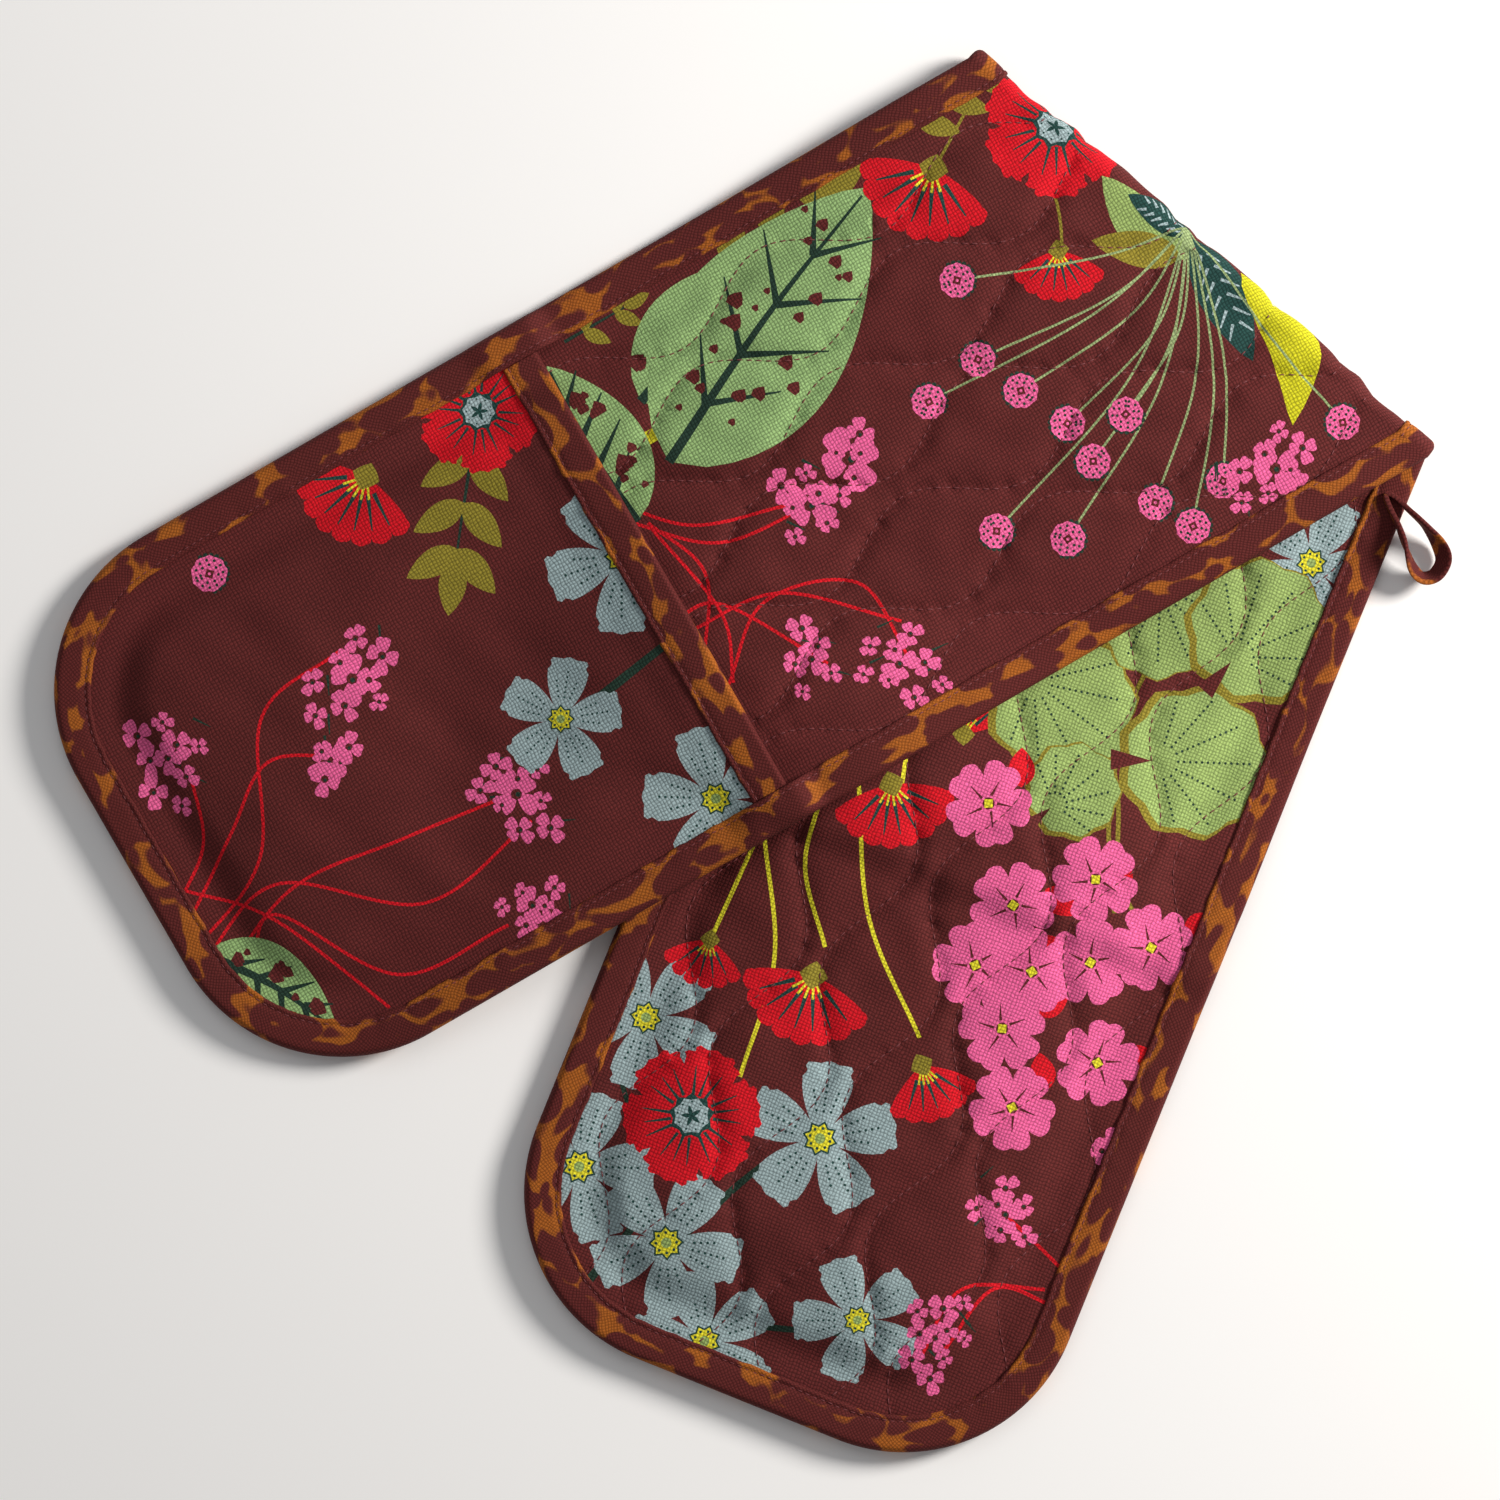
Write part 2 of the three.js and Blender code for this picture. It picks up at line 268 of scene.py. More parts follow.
def lower_back(along, across):
    _, y = plan_point(LOWER, along, across)
    return lower_profile(along, edge_distance(along, across), -y)


def upper_back(along, across):
    """The upper half rests on the lower one, bridges its thin edge and drapes to the table."""
    x, y = plan_point(UPPER, along, across)
    under_along = x * SIN - y * COS
    under_edge = edge_distance(under_along, x * COS + y * SIN)
    support = lerp(
        lower_profile(under_along, 0, -y) + TAPE_STEP,
        lower_profile(under_along, GAP[1], -y),
        smoothstep(under_edge, -BRIDGE, GAP[1]),
    )
    clearance = lerp(FOLD_GAP, STACK_CLEARANCE, smoothstep(-y, 0, CLEARANCE_EASE))
    held = 1 - smoothstep(-under_edge, *DRAPE)
    return (support + clearance) * held + tape_room(edge_distance(along, across))


def to_row(x, y, z):
    """Points of the fold's drawing, in millimetres, to the row frame in metres."""
    plan = FOLD_PLACE + np.multiply.outer(x, FOLD_LINE) + np.multiply.outer(y, FOLD_SQUARE)
    return np.concatenate([plan, np.asarray(z)[..., None]], axis=-1) * MM


def place(half, along, across, height):
    x, y = plan_point(half, along, across)
    back = upper_back(along, across) if half is UPPER else lower_back(along, across)
    return to_row(x, y, np.maximum(back + half.side * height, 0))


def bend(across, height, turn):
    """A point round the fold, where every layer is a half circle about the fold line."""
    radius = FOLD_GAP / 2 + tape_room(HALF_WIDTH - np.abs(across)) + height
    x = across / COS
    return to_row(x, radius * np.sin(turn), FOLD_HEIGHT + radius * np.cos(turn))


# Quilting -----------------------------------------------------------------------------------


def quilt_line(number, station):
    """Where a quilting line is across the strip. Stations run from the lower tip to the upper."""
    phase = 2 * math.pi * (station - CELL_START) / WAVE - math.pi * number
    return FIRST_LINE + LINE_SPACING * number + LINE_SWING * np.cos(phase)


def line_distance(station, across):
    """Distance to the nearest quilting line."""
    slope = 2 * math.pi * LINE_SWING / WAVE
    nearest = np.full(np.shape(station), np.inf)
    for number in range(-1, LINES + 1):
        phase = 2 * math.pi * (station - CELL_START) / WAVE - math.pi * number
        steep = np.hypot(1, slope * np.sin(phase))
        nearest = np.minimum(nearest, np.abs(across - quilt_line(number, station)) / steep)
    return nearest


def ripple(a, b, length, seed):
    """A soft random field between about -1 and 1, with waves of roughly this length."""
    chance = random.Random(seed)
    total = 0
    for _ in range(7):
        heading = chance.uniform(0, math.pi)
        turns = 2 * math.pi / (length * chance.uniform(0.7, 1.6))
        total = total + np.sin(
            turns * (a * math.cos(heading) + b * math.sin(heading)) + chance.uniform(0, 6.3)
        )
    return total / 3.5


def valley(station, across, edge):
    """How far a cover is drawn in below its puffed height."""
    depth = (quilt(edge) - STITCHED_THICKNESS) / 2
    away = line_distance(station, across)
    puffed = 1 - (1 - np.clip(away / PUFF_REACH, 0, 1)) ** PUFF_POWER
    slack = SLACK * (1 + ripple(station, across, SLACK_WAVE, seed=3)) * smoothstep(edge, 10, 30)
    pucker = PUCKER * (1 + ripple(station, 0.45 * across, PUCKER_WAVE, seed=4))
    return depth * (1 - puffed) * (1 - pucker) + slack * puffed


# Meshes -------------------------------------------------------------------------------------


def new_piece(name, points, triangles, normals=None, cloth=None, inks=None, finish=None):
    """A mesh object of triangles, with a normal, a cloth coordinate and an ink per corner."""
    mesh = bpy.data.meshes.new(name)
    corners = np.asarray(triangles, np.int32).ravel()
    count = len(corners) // 3
    mesh.vertices.add(len(points))
    mesh.vertices.foreach_set("co", np.asarray(points, np.float32).ravel())
    mesh.loops.add(3 * count)
    mesh.loops.foreach_set("vertex_index", corners)
    mesh.polygons.add(count)
    mesh.polygons.foreach_set("loop_start", np.arange(0, 3 * count, 3, dtype=np.int32))
    mesh.polygons.foreach_set("use_smooth", np.ones(count, bool))
    mesh.update(calc_edges=True)
    if cloth is not None:
        layer = mesh.uv_layers.new(name="cloth")
        layer.uv.foreach_set("vector", (np.asarray(cloth, np.float32) * MM)[corners].ravel())
    if inks is not None:
        layer = mesh.color_attributes.new("ink", "FLOAT_COLOR", "CORNER")
        layer.data.foreach_set("color", np.repeat(inks, 3, axis=0).astype(np.float32).ravel())
    if normals is not None:
        mesh.normals_split_custom_set(normals)
    piece = bpy.data.objects.new(name, mesh)
    bpy.context.scene.collection.objects.link(piece)
    if finish is not None:
        mesh.materials.append(finish)
    return piece


def face_normals(points, triangles):
    a, b, c = (points[triangles[:, k]] for k in range(3))
    return np.cross(b - a, c - a)


def unit(vectors):
    return vectors / np.maximum(np.linalg.norm(vectors, axis=-1, keepdims=True), 1e-12)


def point_normals(points, triangles):
    total = np.zeros_like(points)
    for k in range(3):
        np.add.at(total, triangles[:, k], face_normals(points, triangles))
    return unit(total)


def open_edges(triangles):
    """Edges with a triangle on one side only, in the order that their triangle has them."""
    edges = np.concatenate([triangles[:, [0, 1]], triangles[:, [1, 2]], triangles[:, [2, 0]]])
    key = np.sort(edges, axis=1)
    _, first, uses = np.unique(key, axis=0, return_index=True, return_counts=True)
    return edges[first[uses == 1]]


def shell(name, outer, inner, normals, triangles, cloth, inks, inner_ink, finish):
    """A closed cloth: an outer and an inner skin with the same triangles, and a rim."""
    used, local = np.unique(triangles, return_inverse=True)
    local = local.reshape(-1, 3)
    count = len(used)
    rim = open_edges(local)
    walls = np.concatenate([
        np.stack([rim[:, 1], rim[:, 0], rim[:, 0] + count], axis=1),
        np.stack([rim[:, 1], rim[:, 0] + count, rim[:, 1] + count], axis=1),
    ])
    points = np.concatenate([outer[used], inner[used]])
    outward = normals[used]
    corner_normals = np.concatenate([
        outward[local].reshape(-1, 3),
        -outward[local[:, ::-1]].reshape(-1, 3),
        np.repeat(unit(face_normals(points, walls)), 3, axis=0),
    ])
    if inks is not None:
        plain = np.broadcast_to(inner_ink, (len(local) + len(walls), 4))
        inks = np.concatenate([inks, plain])
    return new_piece(
        name,
        points,
        np.concatenate([local, local[:, ::-1] + count, walls]),
        corner_normals,
        np.concatenate([cloth[used], cloth[used]]),
        inks,
        finish,
    )


# Cloth panels -------------------------------------------------------------------------------


class Panel(NamedTuple):
    """A cut of cloth: points in cloth coordinates, triangles, and the topmost printed shape on
    each triangle, -1 for none."""

    points: np.ndarray
    triangles: np.ndarray
    shape: np.ndarray


def turned_left(outline):
    """The outline, running so that its inside is on its left."""
    x, y = np.asarray(outline, float).T
    return outline if np.dot(x, np.roll(y, -1)) > np.dot(y, np.roll(x, -1)) else outline[::-1]


def cut(outline, loose, lines, shapes):
    """Triangulates an outline with loose points, lines kept as edges, and printed shapes."""
    points = list(turned_left(outline))
    faces = [list(range(len(outline)))]
    edges = []
    for line in lines:
        first = len(points)
        points.extend(line)
        edges.extend((k, k + 1) for k in range(first, len(points) - 1))
    for _, shape in shapes:
        faces.append(list(range(len(points), len(points) + len(shape))))
        points.extend(turned_left(shape))
    points.extend(loose)
    made = delaunay_2d_cdt([Vector(p) for p in points], edges, faces, 1, 1e-5)
    kept = [k for k, owners in enumerate(made[5]) if 0 in owners]
    triangles = np.array([made[2][k] for k in kept])
    top = np.array([max(made[5][k]) - 1 for k in kept])
    return Panel(np.array([tuple(p) for p in made[0]]), triangles, top)


def scatter(low, high, spacing):
    """Points of a triangular grid over a rectangle."""
    rows = np.arange(low[1], high[1], spacing * math.sqrt(0.75))
    found = []
    for k, row in enumerate(rows):
        columns = np.arange(low[0] + (k % 2) * spacing / 2, high[0], spacing)
        found.append(np.stack([columns, np.full_like(columns, row)], axis=1))
    return np.concatenate(found)


def half_outline(half, inset, step, start=None):
    """A half's edge, from one side of the fold or of a row, round the tip to the other side."""
    reach = HALF_WIDTH - inset
    corner = HALF_LENGTH - TIP_RADIUS
    first = half.lean * reach * TAN if start is None else start
    last = -half.lean * reach * TAN if start is None else start
    turns = np.linspace(0, math.pi / 2, round(TIP_RADIUS * math.pi / 2 / step))
    side = TIP_RADIUS - inset
    curve = np.stack(
        [corner + side * np.sin(turns), HALF_WIDTH - TIP_RADIUS + side * np.cos(turns)], axis=1
    )
    right = np.arange(first, corner - step / 2, step)
    left = np.arange(last, corner - step / 2, step)[::-1]
    tip = np.arange(HALF_WIDTH - TIP_RADIUS - step, TIP_RADIUS - HALF_WIDTH + step / 2, -step)
    return np.concatenate([
        np.stack([right, np.full_like(right, reach)], axis=1),
        curve,
        np.stack([np.full_like(tip, HALF_LENGTH - inset), tip], axis=1),
        (curve * [1, -1])[::-1],
        np.stack([left, np.full_like(left, -reach)], axis=1),
    ])


def to_cloth(half, along, across, band):
    """Pattern coordinates of a half to cloth coordinates of a cover this wide round the fold."""
    if half is UPPER:
        return np.stack([along, across], axis=-1)
    x = along * SIN + across * COS
    y = along * COS - across * SIN + band
    return np.stack([-x * SIN - y * COS, x * COS - y * SIN], axis=-1)


class Spots(NamedTuple):
    """Where points of a cover are: across the fold from the upper half's side, and in the
    pattern coordinates of the half they lie on, or of the fold band between."""

    past: np.ndarray
    along: np.ndarray
    across: np.ndarray
    station: np.ndarray


def spots(cloth, band):
    u, v = cloth[..., 0], cloth[..., 1]
    x = v * COS - u * SIN
    past = -(u * COS + v * SIN)
    upper, lower = past <= 0, past >= band
    beyond = past - band
    along = np.where(upper, u, x * SIN + beyond * COS)
    across = np.where(upper, v, np.where(lower, x * COS - beyond * SIN, x * COS))
    along = np.where(upper | lower, along, 0)
    station = np.where(upper, along, np.where(lower, -along, -across * TAN))
    return Spots(past, along, across, station)


def strip_edge(spot, band):
    at_band = (spot.past > 0) & (spot.past < band)
    side = HALF_WIDTH - np.abs(spot.across)
    return np.where(at_band, side, edge_distance(spot.along, spot.across))


def lay_strip(cloth, band, height):
    """Points of a cover in the row frame. height(spot, edge) is its height off the back."""
    spot = spots(cloth, band)
    edge = strip_edge(spot, band)
    rise = height(spot, edge)
    turn = math.pi * np.clip(spot.past / band, 0, 1)
    return np.where(
        (spot.past <= 0)[:, None],
        place(UPPER, spot.along, spot.across, rise),
        np.where(
            (spot.past >= band)[:, None],
            place(LOWER, spot.along, spot.across, rise),
            bend(spot.across, rise, turn),
        ),
    )


def between(first, last, steps):
    return lerp(np.asarray(first), np.asarray(last), np.linspace(0, 1, steps + 1)[1:-1, None])


def strip_outline(band, inset, step):
    upper = half_outline(UPPER, inset, step)
    lower = to_cloth(LOWER, *half_outline(LOWER, inset, step).T, band)[::-1]
    return np.concatenate([
        upper,
        between(upper[-1], lower[0], BEND_STEPS),
        lower,
        between(lower[-1], upper[0], BEND_STEPS),
    ])


def fold_lines(band, reach, step):
    """The two lines where the halves meet the band, in cloth coordinates."""
    across = np.linspace(reach, -reach, round(2 * reach / step))
    return [
        to_cloth(half, half.lean * across * TAN, across, band) for half in (UPPER, LOWER)
    ]


def stitched_lines(band, step, reach=0):
    """The quilting lines of a cover in cloth coordinates, out to this far in from the edge."""
    found = []
    for number in range(LINES):
        for half in (UPPER, LOWER):
            along = np.arange(-HALF_WIDTH, HALF_LENGTH, step)
            across = quilt_line(number, along * -half.lean)
            from_fold = -plan_point(half, along, across)[1]
            kept = (from_fold > 0) & (edge_distance(along, across) > reach)
            found.append(to_cloth(half, along[kept], across[kept], band))
    return found


def strip_panel(band, spacing, shapes=()):
    """Cuts and triangulates a cover of the strip, with its quilting lines as edges."""
    outline = strip_outline(band, TAPE_STEP, EDGE_SPACING)
    loose = scatter(outline.min(0), outline.max(0), spacing)
    spot = spots(loose, band)
    inside = strip_edge(spot, band) > TAPE_STEP + spacing / 2
    clear = line_distance(spot.station, spot.across) > spacing / 3
    lines = stitched_lines(band, LINE_STEP, TAPE_STEP + 1)
    lines += fold_lines(band, HALF_WIDTH - TAPE_STEP, EDGE_SPACING)
    return cut(outline, loose[inside & clear], lines, shapes)


def pocket_panel(spacing, shapes=()):
    outline = half_outline(UPPER, TAPE_STEP, EDGE_SPACING, start=MOUTH + TAPE_STEP)
    mouth = between(outline[-1], outline[0], round(2 * HALF_WIDTH / EDGE_SPACING))
    outline = np.concatenate([outline, mouth])
    loose = scatter(outline.min(0), outline.max(0), spacing)
    inside = edge_distance(*loose.T) > TAPE_STEP + spacing / 2
    inside &= loose[:, 0] > MOUTH + TAPE_STEP + spacing / 2
    return cut(outline, loose[inside], [], shapes)


# Printed shapes -----------------------------------------------------------------------------
# A motif is a list of (ink, outline) in millimetres, and a later shape lies on an earlier one.


def ring(radius, points=10, frill=0.0, lobes=5, x=0.0, y=0.0):
    turn = np.linspace(0, 2 * math.pi, points, endpoint=False)
    reach = radius * (1 + frill * np.cos(lobes * turn))
    return np.stack([x + reach * np.cos(turn), y + reach * np.sin(turn)], axis=1)


def dot(x, y, radius=0.5):
    return ring(radius, points=6, x=x, y=y)


def petal(length, width, frill=0.0, notch=0.0, frills=6):
    """A petal along +X from its origin, broadest near its frilled or notched end."""
    flank = np.linspace(0.08, 0.76, 6)
    half = width / 2 * np.sin(math.pi / 2 * (flank / 0.78) ** 0.9)
    cap = np.radians(np.linspace(84, -84, 15))
    reach = 1 + frill * np.cos(frills * cap) - notch * np.exp(-((cap / 0.3) ** 2))
    x = np.concatenate([flank, 0.78 + 0.22 * np.cos(cap) * reach, flank[::-1]]) * length
    y = np.concatenate([half, width / 2 * np.sin(cap) * reach, -half[::-1]])
    return np.stack([x, y], axis=1)


def blade(length, width, bow=0.0, points=12):
    """A pointed leaf along +X, bowed sideways."""
    t = np.linspace(0, 1, points)
    half = width / 2 * np.sin(math.pi * t**0.8) ** 0.8
    spine = bow * np.sin(math.pi * t)
    return np.concatenate([
        np.stack([t * length, spine + half], axis=1),
        np.stack([t * length, spine - half], axis=1)[-2:0:-1],
    ])


def catmull_rom(a, b, c, d, t):
    """Places from b to c on the smooth curve that also passes through a and d."""
    return 0.5 * (
        2 * b + (c - a) * t + (2 * a - 5 * b + 4 * c - d) * t**2
        + (3 * b - a - 3 * c + d) * t**3
    )


def smooth(points, step=2.5):
    """A smooth path through points."""
    points = np.asarray(points, float)
    padded = np.concatenate([2 * points[:1] - points[1:2], points, 2 * points[-1:] - points[-2:-1]])
    found = []
    for a, b, c, d in zip(padded, padded[1:], padded[2:], padded[3:]):
        t = np.linspace(0, 1, max(2, round(np.linalg.norm(c - b) / step)), endpoint=False)[:, None]
        found.append(catmull_rom(a, b, c, d, t))
    return np.concatenate([*found, points[-1:]])


def stroke(points, width, end_width=None):
    """A drawn line through points, of even width or tapering."""
    path = smooth(points)
    heading = unit(np.gradient(path, axis=0))
    half = np.linspace(width, width if end_width is None else end_width, len(path))[:, None] / 2
    aside = np.stack([-heading[:, 1], heading[:, 0]], axis=1) * half
    return np.concatenate([path + aside, (path - aside)[::-1]])


def put(motif, x=0.0, y=0.0, turn=0.0, size=1.0):
    """The motif turned by this many degrees, scaled and moved."""
    c, s = math.cos(math.radians(turn)) * size, math.sin(math.radians(turn)) * size
    matrix = np.array([[c, s], [-s, c]])
    return [(ink, np.asarray(outline) @ matrix + [x, y]) for ink, outline in motif]


def star_of(count, motif, start=0.0, span=360.0):
    """The motif repeated round the origin."""
    return [
        shape for k in range(count) for shape in put(motif, turn=start + k * span / count)
    ]


def dusky_flower():
    """Five broad ragged petals with dotted veins, about 52 mm across."""
    veins = [
        ("teal", dot(x, slope * x, 0.5))
        for slope in (-0.27, 0, 0.27) for x in np.arange(9, 21 - 14 * abs(slope), 2.1)
    ]
    petals = star_of(5, [("dusk", petal(26, 17, frill=0.14, notch=0.22, frills=7)), *veins])
    stamens = star_of(8, [("teal", dot(3.4, 0, 0.55))])
    return [*petals, ("teal", ring(5.2, 16, 0.16, 8)), ("yellow", ring(4.4, 16, 0.16, 8)),
            ("lobe", ring(1.8)), *stamens]


def field_flower():
    """A frilled red flower seen from above, about 44 mm across."""
    streaks = [("teal", stroke([(6.5, y), (15, 2.2 * y)], 1.1, 0.3)) for y in (-2.0, 0, 2.0)]
    petals = star_of(6, [("red", petal(22, 17, frill=0.14, notch=0.14, frills=9)), *streaks])
    return [*petals, ("teal", ring(6.6, 18, 0.1, 9)), ("dusk", ring(5.4, 16, 0.08, 8)),
            *star_of(5, [("teal", blade(3.4, 1.3))]), *star_of(9, [("teal", dot(4.4, 0, 0.35))])]


def fan_flower(count=8, span=150):
    """A red flower seen from the side: a fan of notched petals on a green cup."""
    petals = star_of(count, [("red", petal(21, 6.0, frill=0.1, notch=0.25))], -span / 2, span)
    slits = star_of(
        count - 1, [("teal", stroke([(5.5, 0), (16, 0.4)], 1.4, 0.4))],
        -span / 2 + span / (2 * count), span * (count - 1) / count,
    )
    stamens = star_of(5, [("yellow", stroke([(1, 0), (7, 0)], 0.7))], -span / 3, 2 * span / 3)
    return [*petals, *slits, *stamens, ("olive", ring(3.6, 12, 0.15, 4))]


def rose_flower():
    """A pink flower of five notched petals, about 27 mm across."""
    streak = ("ground", stroke([(2.5, 0.3), (7.5, 0)], 0.9, 0.2))
    petals = star_of(5, [("pink", petal(13.5, 11.5, notch=0.42)), streak])
    return [*petals, ("ground", ring(1.9, 9)), ("yellow", ring(1.5, 12, 0.3, 4))]


def berry():
    """A round pink head of tiny flowers, about 13 mm across, dark round one side."""
    rim = [("vein", dot(6.2 * math.cos(a), 6.2 * math.sin(a), 0.9)) for a in np.arange(1.4, 5, 0.3)]
    specks = [
        ("vein", dot(r * math.cos(a), r * math.sin(a), 0.55))
        for r, step in ((4.6, 0.55), (3.0, 0.85)) for a in np.arange(0, 6.2, step)
    ]
    return [*rim, ("pink", ring(6.0, 24, 0.05, 9)), *specks, ("ground", ring(1.6, 8, 0.2, 4)),
            ("pink", ring(0.6, 6))]


def floret():
    """A small pink flower of four uneven petals, about 11 mm across."""
    petals = [("pink", petal(length, 4.4, notch=0.3)) for length in (6, 5, 5.6, 4.6)]
    turned = [s for turn, p in zip((5, 88, 185, 262), petals) for s in put([p], turn=turn)]
    return [*turned, ("ground", ring(1.3, 7)), ("vein", dot(0.3, 0.2, 0.6))]


def floret_spray(seed, count=9, reach=17, core=1.6):
    """Florets of mixed sizes along a bent sprig, with dark slanting shadows behind them."""
    chance = random.Random(seed)
    shapes = []
    for _ in range(count // 2):
        x, y = chance.uniform(-reach, reach), chance.uniform(-reach, reach) * 0.7
        shapes += put([("vein", stroke([(0, 0), (6, 1.5)], 0.9, 0.3))], x, y, 50)
    for k in range(count):
        turn = 2.4 * k
        out = reach * math.sqrt(k / count)
        size = chance.uniform(0.55, 1.05) * (core if k == 0 else 1)
        shapes += put(floret(), out * math.cos(turn), out * math.sin(turn) * 0.75,
                      chance.uniform(0, 90), size)
    return shapes


def spotted_leaf(length, width, seed):
    """A broad green leaf with a dark midrib, side veins and holes showing the ground."""
    chance = random.Random(seed)
    veins = [("vein", stroke([(0, 0), (length * 0.5, 2), (length * 0.97, 0)], 3.4, 0.8))]
    holes = []
    for share in (0.2, 0.38, 0.56, 0.74):
        for side in (-1, 1):
            root = (length * share, 1.5)
            tip = (length * (share + 0.16), side * width * 0.36 * math.sin(math.pi * share**0.8))
            veins.append(("vein", stroke([root, tip], 2.4, 0.5)))
            for _ in range(3):
                x = length * (share + chance.uniform(-0.08, 0.1))
                y = side * width * chance.uniform(0.12, 0.34) * math.sin(math.pi * share**0.8)
                radius = chance.uniform(1.0, 3.1)
                holes.append(("ground", ring(radius, 8, 0.2, 3, x, y)))
    return [("leaf", blade(length, width, points=20)), *veins, *holes]


def fan_leaf(radius):
    """A round scalloped leaf with an olive rim and dotted veins fanning from its notch."""
    veins = [
        ("vein", dot(r * math.cos(a) - 0.45 * radius, r * math.sin(a), 0.5))
        for a in np.radians(np.arange(-75, 80, 25))
        for r in np.arange(0.25 * radius, radius * (0.75 + 0.5 * math.cos(a)), 2.0)
    ]
    return [("olive", ring(radius, 36, 0.05, 9)),
            ("lobe", ring(radius * 0.93, 36, 0.05, 9, x=radius * 0.05)), *veins,
            ("ground", [(-radius * 1.1, -radius * 0.14), (-radius * 0.55, 0),
                        (-radius * 1.1, radius * 0.14)])]


def leaf_spray(length, pairs, ink="olive"):
    """Paired leaves on a dark stem."""
    shapes = [("vein", stroke([(0, 0), (length, 0)], 1.2, 0.6))]
    for k in range(pairs):
        x = length * (k + 0.6) / pairs
        for turn in (-52, 48):
            shapes += put([(ink, blade(length * 0.42, length * 0.2))], x, 0, turn)
    return shapes + put([(ink, blade(length * 0.4, length * 0.2))], length * 0.95)


def feather_leaf(length, width):
    """A dark leaf with pale strokes."""
    strokes = [
        ("dusk", stroke([(length * t, side * 1.2), (length * (t + 0.1), side * width * 0.36
                         * math.sin(math.pi * t**0.8))], 1.1, 0.5))
        for t in np.arange(0.15, 0.8, 0.11) for side in (-1, 1)
    ]
    return [("teal", blade(length, width)), *strokes]


# Prints -------------------------------------------------------------------------------------
# Places are millimetres from the tip, and from the edge that lies on the far side of the fold.


def gather(placed):
    """Motifs at (from tip, from edge, turn, size) as shapes in pattern coordinates."""
    found = []
    for motif, from_tip, from_edge, turn, size in placed:
        found += put(motif, HALF_LENGTH - from_tip, from_edge - HALF_WIDTH, turn, size)
    return found


def drawn(ink, width, *paths, end_width=None):
    """Strokes through places given as (from tip, from edge)."""
    return [
        (ink, stroke([(HALF_LENGTH - s, t - HALF_WIDTH) for s, t in path], width, end_width))
        for path in paths
    ]


def pocket_print():
    """Crossing red stems with pink sprays, dusky flowers by the mouth and red ones beside."""
    stems = drawn(
        "red", 1.1,
        [(4, 128), (40, 112), (64, 72), (98, 66)],
        [(6, 120), (36, 100), (58, 86), (80, 96)],
        [(2, 134), (40, 122), (80, 152), (124, 146)],
        [(4, 142), (44, 126), (84, 130), (128, 136)],
        [(14, 152), (34, 130), (60, 168), (100, 172)],
        [(8, 112), (26, 98), (34, 76)],
        [(12, 108), (34, 132), (52, 176)],
    )
    return [
        *stems,
        *drawn("vein", 3.4, [(152, 124), (206, 116)], end_width=2.4),
        *gather([
            (fan_flower(), 133, 20, 38, 1.15),
            (leaf_spray(40, 3), 172, 25, 52, 1.15),
            (field_flower(), 176, 20, 10, 0.95),
            (berry(), 72, 22, 0, 1.0),
            (spotted_leaf(50, 30, seed=5), 8, 130, 120, 1.0),
            (floret_spray(1), 30, 68, 60, 1.05),
            (floret_spray(2), 96, 76, 0, 1.1),
            (floret_spray(3, count=5, reach=9), 76, 96, 0, 1.0),
            (floret_spray(4), 124, 136, 90, 1.0),
            (floret_spray(6, count=7, reach=14), 110, 170, 0, 0.9),
            (dusky_flower(), 149, 122, 15, 0.8),
            (dusky_flower(), 193, 86, 60, 1.0),
            (dusky_flower(), 180, 170, 40, 0.95),
        ]),
    ]


